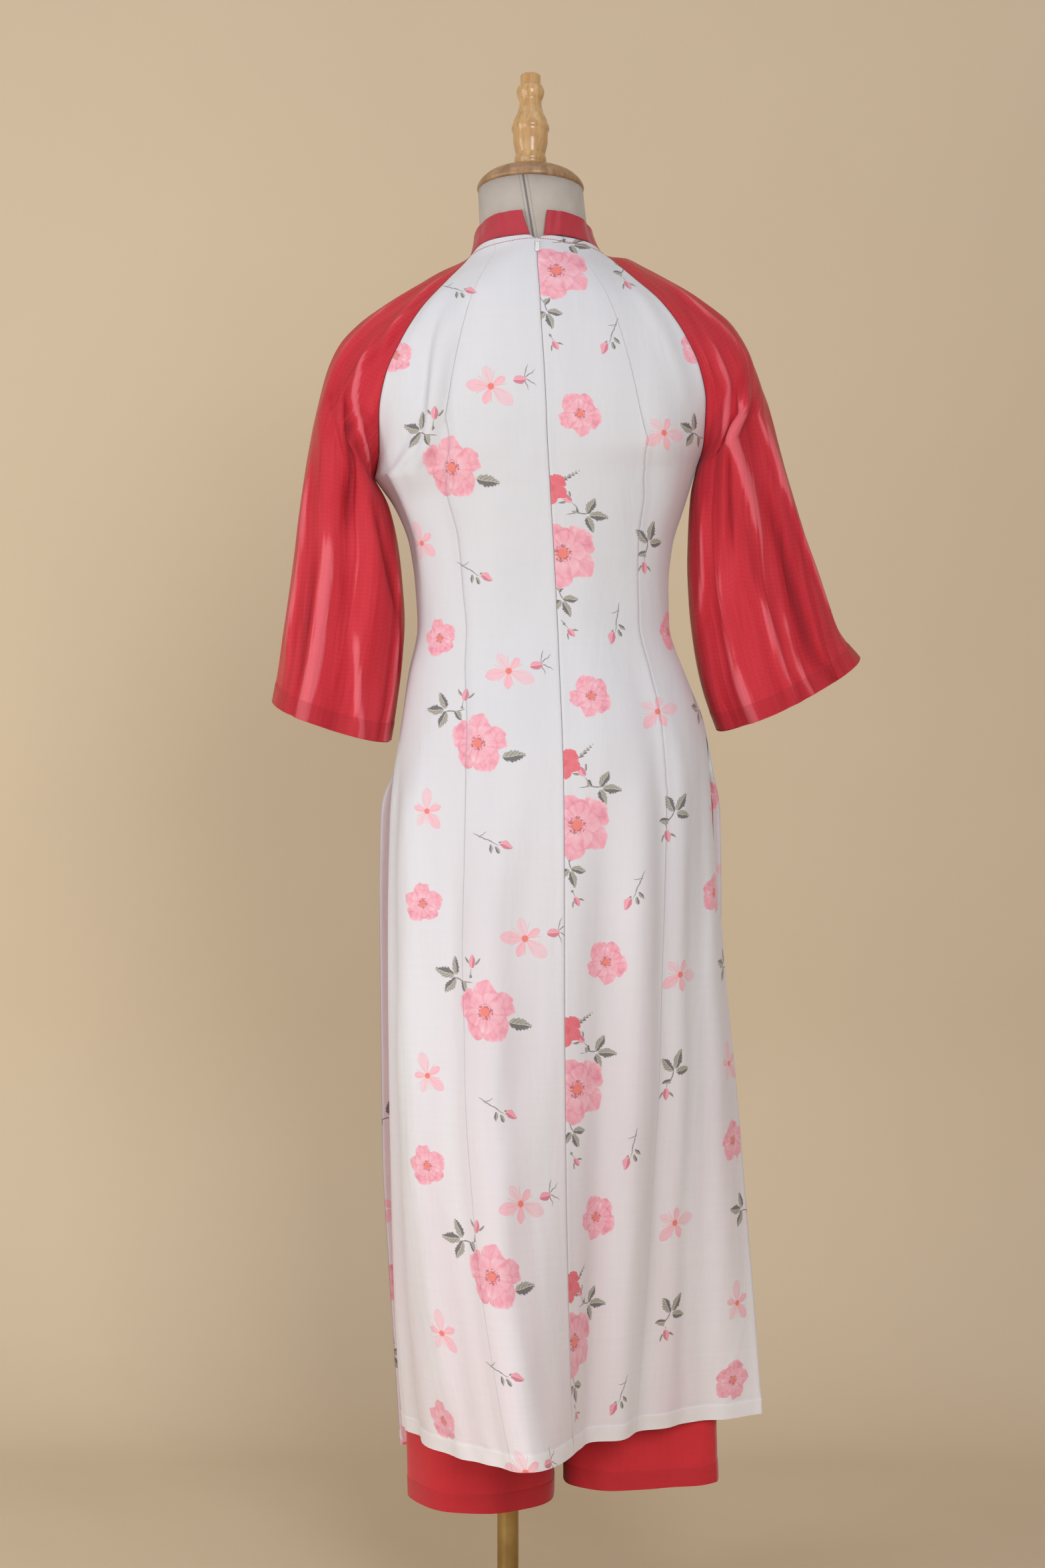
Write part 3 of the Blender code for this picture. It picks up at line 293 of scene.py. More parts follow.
paper, tree, shader, output = new_material("backdrop paper")
place = own_place(tree)
mottle = noisy(place, 1.1, 3.0, rough=0.5)
wire(
    ramp(mottle, (0.3, (0.615, 0.503, 0.362)), (0.7, (0.645, 0.530, 0.386))), shader.inputs["Base Color"]
)
shader.inputs["Roughness"].default_value = 0.9
shader.inputs["Specular IOR Level"].default_value = 0.15
waves = noisy(place, 3.5, 2.0)
bumped(shader, 0.25, 0.03, waves)
from_behind = node(tree, "ShaderNodeNewGeometry").outputs["Backfacing"]
clear = node(tree, "ShaderNodeBsdfTransparent").outputs[0]
seen = node(tree, "ShaderNodeMixShader", {0: from_behind, 1: shader.outputs[0], 2: clear})
wire(seen.outputs[0], output.inputs["Surface"])
bm = bmesh.new()
corners = [
    bm.verts.new((-PAPER_HALF_WIDTH, y, z)) for y,
    z in ((PAPER_FRONT, 0), (PAPER_BEHIND, 0), (PAPER_BEHIND, PAPER_TOP))
]
edges = [bm.edges.new(pair) for pair in zip(corners, corners[1:])]
swept = bmesh.ops.extrude_edge_only(bm, edges=edges)["geom"]
bmesh.ops.translate(
    bm, verts=[v for v in swept if isinstance(v, bmesh.types.BMVert)], vec=(2 * PAPER_HALF_WIDTH, 0, 0)
)
fold = [
    e for e in bm.edges if all(abs(v.co.y - PAPER_BEHIND) < 1e-6 and abs(v.co.z) < 1e-6 for v in e.verts)
]
bmesh.ops.bevel(
    bm, geom=fold, offset=SWEEP_RADIUS, segments=32, profile=0.5, affect="EDGES", offset_type="OFFSET",
    material=-1
)
bmesh.ops.recalc_face_normals(bm, faces=bm.faces)
if max(bm.faces, key=lambda face: face.calc_center_median().z).normal.y > 0:
    bmesh.ops.reverse_faces(bm, faces=bm.faces)
backdrop = add_object("backdrop", bm, paper)
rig.stage(backdrop)


def softbox(name, at, towards, width, height, watts, colour):
    light = bpy.data.lights.new(name, "AREA")
    light.shape, light.size, light.size_y = "RECTANGLE", width, height
    light.energy, light.color = watts, colour
    made = bpy.data.objects.new(name, light)
    made.location = at
    made.rotation_euler = (Vector(towards) - Vector(at)).to_track_quat("-Z", "Y").to_euler()
    scene.collection.objects.link(made)


softbox("key", (0.75, -3.1, 1.8), (0.0, 0.0, 0.6), 1.0, 1.4, 46.0, (1.0, 0.985, 0.985))
softbox("fill", (-2.1, -2.7, 0.75), (0.0, 0.0, 0.5), 1.5, 1.5, 22.0, (0.95, 0.975, 1.0))
softbox("top", (0.0, -0.6, 3.4), (0.0, 0.2, 0.8), 2.4, 1.8, 8.0, (1.0, 0.99, 0.98))
softbox("backdrop left", (-2.0, -0.9, 1.2), (-1.2, 1.25, 0.8), 0.9, 1.8, 19.0, (1.0, 0.985, 0.96))
softbox("front", (0.6, 2.9, 1.9), (0.0, 0.0, 0.9), 1.6, 1.8, 40.0, (1.0, 0.99, 0.98))
room = bpy.data.worlds.new("room")
room.use_nodes = True
room.node_tree.nodes["Background"].inputs["Color"].default_value = (1.0, 0.98, 0.96, 1.0)
room.node_tree.nodes["Background"].inputs["Strength"].default_value = 0.42
scene.world = room
scene.view_settings.view_transform = "Standard"

lens = bpy.data.cameras.new("camera")
lens.lens, lens.sensor_width, lens.sensor_fit = 58.9, 36.0, "AUTO"
camera = bpy.data.objects.new("camera", lens)
camera.location, camera.rotation_euler = (0.0154, -2.7, 0.9), (radians(90), 0, 0)
scene.collection.objects.link(camera)
scene.camera = camera

# Dress form: a padded body covered in natural linen. Only its neck shows, with the centre back seam's welt,
# its groove darkened by painted shade, and its two rows of stitches a little left of the middle. The cover is
# a copy of the imported solid, with smooth shading.
linen, tree, shader, _ = new_material("form linen")
place = own_place(tree)
parts = parts_of(place)
line = times_plus(parts[2], -0.165, 0.2683)
off_line = minus(parts[0], line)
away = size_of(off_line)
behind = math("LESS_THAN", parts[1], 0.0)
welt = times(math("SMOOTH_MIN", math("LESS_THAN", away, 0.0011), 1.0, 0.1), behind)
rows_off = size_of(minus(away, 0.0042))
dashes = math("GREATER_THAN", math("FRACT", times(parts[2], 380.0)), 0.35)
stitched = times(times(math("LESS_THAN", rows_off, 0.00035), dashes), behind)
threads = node(
    tree, "ShaderNodeTexWave", {"Vector": place, "Scale": 420.0, "Distortion": 1.2}, bands_direction="Z"
)
slubs = noisy(place, 26.0, 5.0, rough=0.6)
cloth_tone = ramp(slubs, (0.3, (0.40, 0.355, 0.315)), (0.72, (0.475, 0.43, 0.39)))
# Painted shade: the welt's groove is drawn as a deep grey line down the back of the neck.
welt_shade_and_speckle = blend(welt, cloth_tone, (0.17, 0.155, 0.17))
wire(blend(stitched, welt_shade_and_speckle, (0.235, 0.215, 0.235)), shader.inputs["Base Color"])
shader.inputs["Roughness"].default_value = 0.85
shader.inputs["Specular IOR Level"].default_value = 0.25
shader.inputs["Sheen Weight"].default_value = 0.15
swell = times(minus(0.006, away), math("LESS_THAN", away, 0.006))
height = plus(times(threads.outputs[1], 0.02),
    minus(times(swell, 60.0), plus(times(stitched, 0.3), times(welt, 0.5))),
)
bumped(shader, 0.55, 0.0012, height)


def carry(made, slot_name, *nodes, body="garment_on_form"):
    """The piece rides its body, takes its slot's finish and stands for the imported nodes."""
    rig.ride(made, body)
    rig.slot(made, slot_name)
    if nodes:
        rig.replaces(made, *nodes)
    return made


form = frame["nodes"]["form_torso"]
bm = bmesh.new()
bm.from_mesh(form.data)
bmesh.ops.transform(bm, matrix=form.matrix_world, verts=bm.verts)
bmesh.ops.remove_doubles(bm, verts=bm.verts, dist=1e-5)
carry(add_object("form_cover", bm, linen), "linen", "form_torso")

# Neck cap and knob: turned beech, clear varnished. The cap is a shallow dome glued on the neck, browner and
# chipped at its back edge, and the knob stands on it. Both are built on the same tilted axis.
NECK_TILT = 6.5
CAP_X, CAP_Y, CAP_Z = 0.0238, 0.0035, 1.5243
FINIAL_BASE_Z = 0.0235
Turn = namedtuple("Turn", "radius height")
CAP_PROFILE = (
    Turn(0.0, 0), Turn(0.0545, 0), Turn(0.0560, 0.0012), Turn(0.0562, 0.0040), Turn(0.0535, 0.0090),
    Turn(0.0470, 0.0150), Turn(0.0380, 0.0195), Turn(0.0290, 0.0222), Turn(0.0215, 0.0232), Turn(0.0, 0.0232),
)
FINIAL_PROFILE = (
    Turn(0, 0), Turn(0.0182, 0), Turn(0.0160, 0.0033), Turn(0.0157, 0.0060), Turn(0.0168, 0.0094),
    Turn(0.0164, 0.0132), Turn(0.0154, 0.0160), Turn(0.0163, 0.0204), Turn(0.0181, 0.0286),
    Turn(0.0184, 0.0374), Turn(0.0187, 0.0407), Turn(0.0199, 0.0440), Turn(0.0197, 0.0473),
    Turn(0.0183, 0.0501), Turn(0.0170, 0.0550), Turn(0.0140, 0.0616), Turn(0.0122, 0.0682),
    Turn(0.0117, 0.0748), Turn(0.0128, 0.0775), Turn(0.0145, 0.0825), Turn(0.0145, 0.0869),
    Turn(0.0125, 0.0913), Turn(0.0108, 0.0930), Turn(0.0108, 0.1018), Turn(0.0098, 0.1034), Turn(0, 0.1034),
)


def smooth_profile(profile, between):
    """The profile with points added on a smooth curve through its own ones; its ends stay flat."""
    made = [profile[0]]
    for number in range(1, len(profile) - 2):
        before, here, there, after = profile[number - 1:number + 3]
        for step in range(between):
            t = step / between
            weights = (
                -0.5 * t + t * t - 0.5 * t ** 3, 1 - 2.5 * t * t + 1.5 * t ** 3,
                0.5 * t + 2 * t * t - 1.5 * t ** 3, -0.5 * t * t + 0.5 * t ** 3,
            )
            points = (
                here if number == 1 else before, here, there, there if number == len(profile) - 3 else after
            )
            made.append(Turn(*(sum(w * p[i] for w, p in zip(weights, points)) for i in (0, 1))))
    return made + list(profile[-2:])


def turned(profile, placed, sides=72):
    """A bmesh turned about Z and then put in its place."""
    bm = bmesh.new()
    line = [bm.verts.new((turn.radius, 0.0, turn.height)) for turn in profile]
    edges = [bm.edges.new(pair) for pair in zip(line, line[1:])]
    bmesh.ops.spin(
        bm, geom=line + edges, cent=(0, 0, 0), axis=(0, 0, 1), angle=2 * pi, steps=sides, use_merge=True
    )
    bmesh.ops.remove_doubles(bm, verts=bm.verts, dist=1e-6)
    bmesh.ops.recalc_face_normals(bm, faces=bm.faces)
    bmesh.ops.transform(bm, matrix=placed, verts=bm.verts)
    return bm


def group(name, inputs, outputs):
    """A node group with the given sockets, its tree, its inputs' sockets and its output node."""
    made = bpy.data.node_groups.new(name, "ShaderNodeTree")
    for socket, kind in inputs:
        made.interface.new_socket(socket, in_out="INPUT", socket_type="NodeSocket" + kind)
    for socket, kind in outputs:
        made.interface.new_socket(socket, in_out="OUTPUT", socket_type="NodeSocket" + kind)
    return made, made.nodes.new("NodeGroupInput").outputs, made.nodes.new("NodeGroupOutput").inputs


def grain_group():
    """Turned beech: long streaks up the axis with short dark flecks. Its tone, its flecks and a height."""
    made, given, result = group(
        "beech grain", [("Place", "Vector"), ("Ring", "Float")],
        [("Tone", "Float"), ("Fleck", "Float"), ("Height", "Float")]
    )
    along = scaled(given["Place"], 1.0, 1.0, 0.09, turn=(radians(-NECK_TILT), 0, 0))
    streaks = noisy(along, 210.0, 6.0, bent=0.35)
    broad = noisy(along, given["Ring"], 3.0, bent=1.0)
    flecks = noisy(along, 900.0, 1.0)
    wire(plus(times(streaks, 0.5), times(broad, 0.6)), result["Tone"])
    wire(math("GREATER_THAN", flecks, 0.66), result["Fleck"])
    wire(streaks, result["Height"])
    return made


beech_grain = grain_group()


def wood(name, light, dark, ring, coat):
    """Varnished beech in two tones."""
    made, tree, shader, _ = new_material(name)
    grain = node(tree, "ShaderNodeGroup", node_tree=beech_grain)
    wire(own_place(tree), grain.inputs["Place"])
    grain.inputs["Ring"].default_value = ring
    colour = ramp(grain.outputs["Tone"], (0.42, dark), (0.70, light))
    colour = blend(times(grain.outputs["Fleck"], 0.35), colour, tuple(0.45 * c for c in dark))
    wire(colour, shader.inputs["Base Color"])
    shader.inputs["Roughness"].default_value = 0.42
    shader.inputs["Coat Weight"].default_value = coat
    shader.inputs["Coat Roughness"].default_value = 0.16
    bumped(shader, 0.15, 0.0005, grain.outputs["Height"])
    return made


cap_place = Matrix.Translation((CAP_X, CAP_Y, CAP_Z)) @ Matrix.Rotation(radians(-NECK_TILT), 4, "X")
bm = turned(smooth_profile(CAP_PROFILE, 4), Matrix.Identity(4), 120)
for vertex in bm.verts:
    edge = max(0.0, 1 - abs(vertex.co.z - 0.0008) / 0.0022) * (vertex.co.xy.length > 0.052)
    chip = max(0.0, noise.noise(Vector((vertex.co.x * 260, vertex.co.y * 120, 3.0))) - 0.12)
    chipped = max(0.0, 1 - abs(vertex.co.x - 0.012) / 0.02) if vertex.co.y < 0 else 0.0
    vertex.co.xy *= 1 - 0.05 * edge * chip * chipped
bmesh.ops.transform(bm, matrix=cap_place, verts=bm.verts)
cap_wood = wood("cap beech", (0.40, 0.235, 0.115), (0.22, 0.115, 0.05), 34.0, 0.35)
carry(add_object("turned_cap", bm, cap_wood), "beech", "neck_cap")

bm = turned(smooth_profile(FINIAL_PROFILE, 4), Matrix.Identity(4))
for vertex in bm.verts:
    high = max(0.0, vertex.co.z - 0.0985) / 0.005
    rough = noise.noise(Vector((vertex.co.x * 420, vertex.co.y * 420, 1.0)))
    vertex.co.z += min(high, 1.0) * 0.0011 * rough
bmesh.ops.transform(bm, matrix=cap_place @ Matrix.Translation((0, 0, FINIAL_BASE_Z)), verts=bm.verts)
knob_wood = wood("knob beech", (0.60, 0.385, 0.165), (0.42, 0.22, 0.075), 60.0, 0.7)
carry(add_object("turned_knob", bm, knob_wood), "beech", "neck_knob")

# Stand: a brass tube with fine drawing lines and dull handling marks, in a dark cast plate on the floor.
POLE_RADIUS, POLE_BOTTOM, POLE_TOP = 0.0112, 0.0463, 0.7997
BASE_RADIUS, BASE_THICK, BOSS_RADIUS, BOSS_HEIGHT, BASE_EDGE = 0.170, 0.012, 0.021, 0.046, 0.003
brass, tree, shader, _ = new_material("drawn brass")
place = own_place(tree)
along = scaled(place, 1.0, 1.0, 0.02)
lines = noisy(along, 900.0, 3.0)
marks = noisy(place, 30.0, 5.0)
wire(
    ramp(marks, (0.35, (0.36, 0.235, 0.085)), (0.7, (0.50, 0.345, 0.135))), shader.inputs["Base Color"]
)
wire(
    plus(times(marks, 0.25), times_plus(lines, 0.12, 0.14)),
    shader.inputs["Roughness"],
)
shader.inputs["Metallic"].default_value = 1.0
bm = turned(
    (
        Turn(0, POLE_BOTTOM), Turn(POLE_RADIUS, POLE_BOTTOM), Turn(POLE_RADIUS, POLE_TOP), Turn(0, POLE_TOP)
    ), Matrix.Identity(4)
)
carry(add_object("brass_pole", bm, brass), "brass", "pole")
cast, tree, shader, _ = new_material("cast plate")
place = own_place(tree)
grains = noisy(place, 320.0, 3.0)
dust = noisy(place, 9.0, 4.0)
wire(ramp(dust, (0.35, (0.030, 0.030, 0.033)), (0.75, (0.075, 0.072, 0.068))), shader.inputs["Base Color"])
shader.inputs["Metallic"].default_value = 0.6
wire(times_plus(dust, 0.3, 0.35), shader.inputs["Roughness"])
bumped(shader, 0.3, 0.0006, grains)
bm = turned(
    (
        Turn(0, 0), Turn(BASE_RADIUS - BASE_EDGE, 0), Turn(BASE_RADIUS, BASE_EDGE), Turn(
            BASE_RADIUS, BASE_THICK - BASE_EDGE
        ),
        Turn(
            BASE_RADIUS - BASE_EDGE, BASE_THICK
        ), Turn(BOSS_RADIUS + BASE_EDGE, BASE_THICK), Turn(BOSS_RADIUS, BASE_THICK + BASE_EDGE),
        Turn(
            BOSS_RADIUS, BOSS_HEIGHT - 0.001
        ), Turn(BOSS_RADIUS - 0.001, BOSS_HEIGHT), Turn(0, BOSS_HEIGHT),
    ),
    Matrix.Identity(4), 96,
)
carry(add_object("cast_base", bm, cast, 25.0), "base_steel", "base_plate")

# Trousers: four panels of red crepe, seamed at the sides, inseams, centre back and centre front, on a
# waistband that the tunic hides. Each hem is turned up 20 mm and topstitched.
HALF_GAP, SEAM_GAP = 0.00015, 0.0003
Leg = namedtuple(
    "Leg",
    "side_z seam_z left_x right_x side_y back_seam_y front_seam_y turn left_seam_x right_seam_x "
    "back_side back_seam front_side front_seam",
)
LEGS = (
    Leg(
        1.044, 1.044, -0.0850, 0.1650, -0.005, -0.0815, 0.0925, 0, 0.0423, 0.0427, 0.045, 0.072, 0.056,
        0.078
    ),
    Leg(
        0.980, 0.980, -0.1010, 0.1850, -0.006, -0.0985, 0.1010, 0, 0.0453, 0.0457, 0.054, 0.082, 0.062,
        0.088
    ),
    Leg(
        0.920, 0.920, -0.1120, 0.2050, -0.006, -0.1130, 0.1080, 0, 0.0473, 0.0477, 0.062, 0.088, 0.066,
        0.096
    ),
    Leg(
        0.870, 0.870, -0.1165, 0.2120, -0.006, -0.1200, 0.1110, 0, 0.0488, 0.0492, 0.066, 0.090, 0.069,
        0.098
    ),
    Leg(
        0.825, 0.815, -0.1180, 0.2140, -0.006, -0.1120, 0.1050, 22, 0.0505, 0.0509, 0.064, 0.088, 0.072,
        0.092
    ),
    Leg(
        0.785, 0.772, -0.1185, 0.2155, -0.006, -0.0760, 0.0720, 58, 0.0515, 0.0521, 0.082, 0.082, 0.090,
        0.086
    ),
    Leg(
        0.752, 0.756, -0.1185, 0.2160, -0.006, 0.0000, 0.0000, 90, 0.0518, 0.0532, 0.135, 0.120, 0.132,
        0.130
    ),
    Leg(
        0.700, 0.705, -0.1180, 0.2160, -0.006, 0.0000, 0.0000, 90, 0.0505, 0.0550, 0.140, 0.134, 0.138,
        0.142
    ),
    Leg(
        0.600, 0.603, -0.1165, 0.2155, -0.007, 0.0020, 0.0020, 90, 0.0500, 0.0560, 0.134, 0.126, 0.142,
        0.148
    ),
    Leg(
        0.500, 0.502, -0.1145, 0.2150, -0.008, 0.0040, 0.0040, 90, 0.0495, 0.0570, 0.126, 0.118, 0.146,
        0.154
    ),
    Leg(
        0.400, 0.401, -0.1120, 0.2150, -0.009, 0.0060, 0.0060, 90, 0.0490, 0.0580, 0.110, 0.122, 0.150,
        0.160
    ),
    Leg(
        0.300, 0.300, -0.1090, 0.2165, -0.010, 0.0080, 0.0080, 90, 0.0488, 0.0585, 0.098, 0.132, 0.154,
        0.166
    ),
    Leg(
        0.225, 0.225, -0.1065, 0.2185, -0.011, 0.0100, 0.0100, 90, 0.0487, 0.0590, 0.090, 0.142, 0.157,
        0.172
    ),
    Leg(
        0.158, 0.156, -0.1045, 0.2205, -0.012, 0.0120, 0.0120, 90, 0.0487, 0.0590, 0.086, 0.150, 0.160,
        0.178
    ),
)
RIGHT_BACK_SHARES, RIGHT_FRONT_SHARES = (0.27, 0.56), (0.95, 0.82)
LEG_LOOSE_Z, RIGHT_LEG_SWING = 0.70, 12.0
RIGHT_LEG_LIFT, RIGHT_LEG_AHEAD, RIGHT_INSEAM_AHEAD = 0.008, 0.013, 0.011
TROUSER_WALL, TROUSER_HEM = 0.0009, 0.020
TROUSER_ROWS_FINE, TROUSER_COLUMNS_FINE = (110, 26), 34


def unit(vector):
    return vector / np.linalg.norm(vector, axis=-1, keepdims=True)


def smooth_step(x):
    x = np.clip(x, 0.0, 1.0)
    return x * x * (3 - 2 * x)


def run(first, leave, leave_reach, last, arrive, arrive_reach):
    """The four control points of a row that leaves first one way and arrives at last another way."""
    first, last = np.array(first, float), np.array(last, float)
    return np.array([first, first + leave * leave_reach, last - arrive * arrive_reach, last])


def heading(degrees):
    """A level direction, in degrees from +X towards +Y."""
    return np.array([cos(radians(degrees)), sin(radians(degrees)), 0.0])


def row_slopes(rows):
    """Slopes at the table rows that never carry a curve past the next row."""
    step = np.diff(rows, axis=0)
    before, after = step[:-1], step[1:]
    both = before * after
    total = np.where(both > 0, before + after, 1.0)
    inner = np.where(both > 0, 2 * both / total, 0.0)
    return np.concatenate([step[:1], inner, step[-1:]])


def between_rows(rows, at, corners=()):
    """Control points at fractional rows, on a smooth curve through the table rows. The two control points
    nearest the outer edge turn a corner at some rows."""
    at = np.clip(np.asarray(at, float), 0, len(rows) - 1)
    low = np.minimum(at.astype(int), len(rows) - 2)
    t = (at - low)[:, None, None]
    leave = row_slopes(rows)
    reach = leave.copy()
    for corner in corners:
        leave[corner, :2] = rows[corner + 1, :2] - rows[corner, :2]
        reach[corner, :2] = rows[corner, :2] - rows[corner - 1, :2]
    t2, t3 = t * t, t * t * t
    return (
        (2 * t3 - 3 * t2 + 1) * rows[low]
        + (t3 - 2 * t2 + t) * leave[low]
        + (3 * t2 - 2 * t3) * rows[low + 1]
        + (t3 - t2) * reach[low + 1]
    )


def rows_at(stops, counts):
    """Fractional rows from stop to stop, evenly placed in each stretch."""
    parts = [np.linspace(a, b, count + 1)[:-1] for a, b, count in zip(stops, stops[1:], counts)]
    return np.append(np.concatenate(parts), stops[-1])


def along_row(points, u):
    """Points of each row's cubic curve, u from 0 to 1 across."""
    u = np.asarray(u, float)[None, :, None]
    p0, p1, p2, p3 = (points[:, None, i, :] for i in range(4))
    return (1 - u) ** 3 * p0 + 3 * u * (1 - u) ** 2 * p1 + 3 * u * u * (1 - u) * p2 + u ** 3 * p3



class Sheet:
    """A grid of points with the ways in which it leaves its first column and reaches its last one. Its outer
    edge is sewn to one neighbour between the two rows called sewn, and turns a corner at each."""

    def __init__(self, grid, first_way, last_way, sewn=(0, -1)):
        self.grid, self.first_way, self.last_way, self.sewn = grid, first_way, last_way, sewn

    def turned_round(self):
        return Sheet(self.grid[:, ::-1], -self.last_way, -self.first_way, self.sewn)

    def out(self):
        """The outward normals. At a seam they follow the sheet's own run, so that neighbours agree."""
        across, down = np.gradient(self.grid, axis=1), np.gradient(self.grid, axis=0)
        across[:, 0], across[:, -1] = self.first_way, self.last_way
        top, end = self.sewn
        down[top] = self.grid[top + 1] - self.grid[top]
        down[end] = self.grid[end] - self.grid[end - 1]
        return unit(np.cross(down, across))

    def across(self, start=0):
        """How far each point is from column start, measured along its row."""
        steps = np.linalg.norm(np.diff(self.grid, axis=1), axis=2)
        far = np.concatenate([np.zeros((len(self.grid), 1)), np.cumsum(steps, axis=1)], axis=1)
        return far - far[:, start:start + 1] if start >= 0 else far - far[:, -1:]

    def down(self):
        """How far each point is from the first row, measured down its column."""
        steps = np.linalg.norm(np.diff(self.grid, axis=0), axis=2)
        return np.concatenate([np.zeros((1, self.grid.shape[1])), np.cumsum(steps, axis=0)])

    def moved(self, lift):
        return Sheet(self.grid + self.out() * lift[:, :, None], self.first_way, self.last_way, self.sewn)


def span(rows, row_at, columns, corners=(), sewn=(0, -1), closer=1.0):
    """The sheet of a piece, its points evenly placed across each row, or closer near its first edge."""
    points = between_rows(rows, row_at, corners)
    grid = along_row(points, np.linspace(0, 1, columns) ** closer)
    return Sheet(grid, points[:, 1] - points[:, 0], points[:, 3] - points[:, 2], sewn)


Fold = namedtuple("Fold", "u_top u_end row_top row_end height width")
Crease = namedtuple("Crease", "stops height left right")


def add_folds(sheet, row_at, folds, last_row):
    """Moves a sheet out along its normals by its folds. Seam edges stay where they are."""
    u = np.linspace(0, 1, sheet.grid.shape[1])[None, :]
    row = np.asarray(row_at, float)[:, None]
    lift = np.zeros(sheet.grid.shape[:2])
    for fold in folds:
        share = (row - fold.row_top) / (fold.row_end - fold.row_top)
        centre = fold.u_top + (fold.u_end - fold.u_top) * share
        grow = smooth_step(share / 0.4)
        fade = 1.0 if fold.row_end >= last_row else smooth_step((1 - share) / 0.4)
        lift += fold.height * grow * fade * np.exp(-(((u - centre) / fold.width) ** 2))
    return sheet.moved(lift * smooth_step(u / 0.12) * smooth_step((1 - u) / 0.12))


def add_creases(sheet, row_at, creases, last_row, edge=0.05):
    """Adds finer creases. stops are the (row, u) places on a crease's line, and left and right the widths in
    metres of its two slopes: a ridge has a height above 0 and a trough one below."""
    u, row = np.linspace(0, 1, sheet.grid.shape[1]), np.asarray(row_at, float)
    far = sheet.across()
    lift = np.zeros(far.shape)
    for crease in creases:
        rows, places = np.array(crease.stops, float).T
        bend = np.polyfit(rows, places, min(3, len(rows) - 1))
        line = np.polyval(bend, np.clip(row, rows[0], rows[-1]))
        middle = np.array([np.interp(at, u, one) for at, one in zip(line, far)])
        off = far - middle[:, None]
        share = (row - rows[0]) / (rows[-1] - rows[0])
        grow = 1.0 if rows[0] <= 0 else smooth_step(share / 0.35)
        fade = 1.0 if rows[-1] >= last_row else smooth_step((1 - share) / 0.35)
        slope = np.where(off < 0, crease.left, crease.right)
        lift += crease.height * (grow * fade * np.ones(len(row)))[:, None] * np.exp(-((off / slope) ** 2))
    return sheet.moved(lift * smooth_step(u / edge) * smooth_step((1 - u) / edge))


def uneven(sheet, seed, amount, wide, tall):
    """Adds the slow unevenness of hanging cloth, none of it at the seams."""
    draw = np.random.default_rng(seed)
    far, low = sheet.across(), sheet.down()
    lift = np.zeros(far.shape)
    for _ in range(9):
        across, down = draw.normal(0, 1 / wide), draw.normal(0, 1 / tall)
        lift += np.sin(2 * pi * (far * across + low * down) + draw.uniform(0, 2 * pi))
    u = np.linspace(0, 1, far.shape[1])
    return sheet.moved(amount / 3 * lift * smooth_step(u / 0.1) * smooth_step((1 - u) / 0.1))


HEM_STEP, STITCH_DENT, STITCH_DENT_SHARE = 0.0016, 0.0012, 0.7
GATHER_PITCH, GATHER_REACH, GATHER_STRAY, GATHER_STRAY_RATE = 0.0085, 0.007, 1.7, 130


def hemmed(sheet, deep, raised, pucker):
    """Doubles the cloth over a hem's depth and draws it in a little along the stitch line."""
    low, far = sheet.down(), sheet.across()
    above = low[-1] - low
    dent = raised * STITCH_DENT_SHARE * np.exp(-(((above - deep) / STITCH_DENT) ** 2))
    lift = raised * smooth_step((deep - above) / HEM_STEP + 0.5) - dent
    stray = GATHER_STRAY * np.sin(far * GATHER_STRAY_RATE)
    gathers = np.sin(2 * pi * far / GATHER_PITCH + stray) * np.exp(-(((above - deep) / GATHER_REACH) ** 2))
    return sheet.moved(lift + pucker * gathers)


def cloth(name, sheet, wall, material, slot_name, node_name, sides=HALF_GAP, top=0.0, weft=None, dart=None):
    """A closed thin sheet whose outer face is the given one. It carries a UV map in metres and an attribute
    for the sewing: distance from the nearest side edge, height above the hem, signed distance from a dart, or on
    the sleeves the creases' height, from which their organza paints highlight and shade."""
    outer = sheet.grid.copy()
    outer[:, 0] += unit(sheet.first_way) * sides
    outer[:, -1] -= unit(sheet.last_way) * sides
    outer[0] += unit(sheet.grid[1] - sheet.grid[0]) * top
    inner = outer - sheet.out() * wall
    rows, columns = outer.shape[:2]
    bm = bmesh.new()
    bmesh.ops.create_grid(bm, x_segments=columns - 1, y_segments=rows - 1, size=0.5)
    place = bm.verts.layers.int.new("place")
    for number, (vertex, point) in enumerate(zip(bm.verts, outer.reshape(-1, 3))):
        vertex[place], vertex.co = number, point
    made = bmesh.ops.extrude_face_region(bm, geom=bm.faces[:], use_keep_orig=True)["geom"]
    inside = inner.reshape(-1, 3)
    for vertex in made:
        if isinstance(vertex, bmesh.types.BMVert):
            vertex.co = inside[vertex[place]]
    bmesh.ops.recalc_face_normals(bm, faces=bm.faces)
    piece = add_object(name, bm, material)
    mesh = piece.data
    places = np.zeros(len(mesh.vertices), np.int32)
    mesh.attributes["place"].data.foreach_get("value", places)
    far, low = sheet.across(), sheet.down()
    flat = np.stack([far, low] if weft is None else weft, axis=-1).reshape(-1, 2)[places]
    sewing = np.stack(
        [
            np.minimum(far, far[:, -1:] - far), low[-1] - low, np.full(far.shape, 1.0) if dart is None
            else dart
        ], axis=-1
    ).reshape(-1, 3)[places]
    mesh.attributes.new("sewing", "FLOAT_VECTOR", "POINT").data.foreach_set("vector", sewing.ravel())
    corners = np.zeros(len(mesh.loops), np.int32)
    mesh.loops.foreach_get("vertex_index", corners)
    mesh.uv_layers.new(name="cloth").data.foreach_set("uv", flat[corners].ravel())
    mesh.attributes.remove(mesh.attributes["place"])
    return carry(piece, slot_name, node_name)


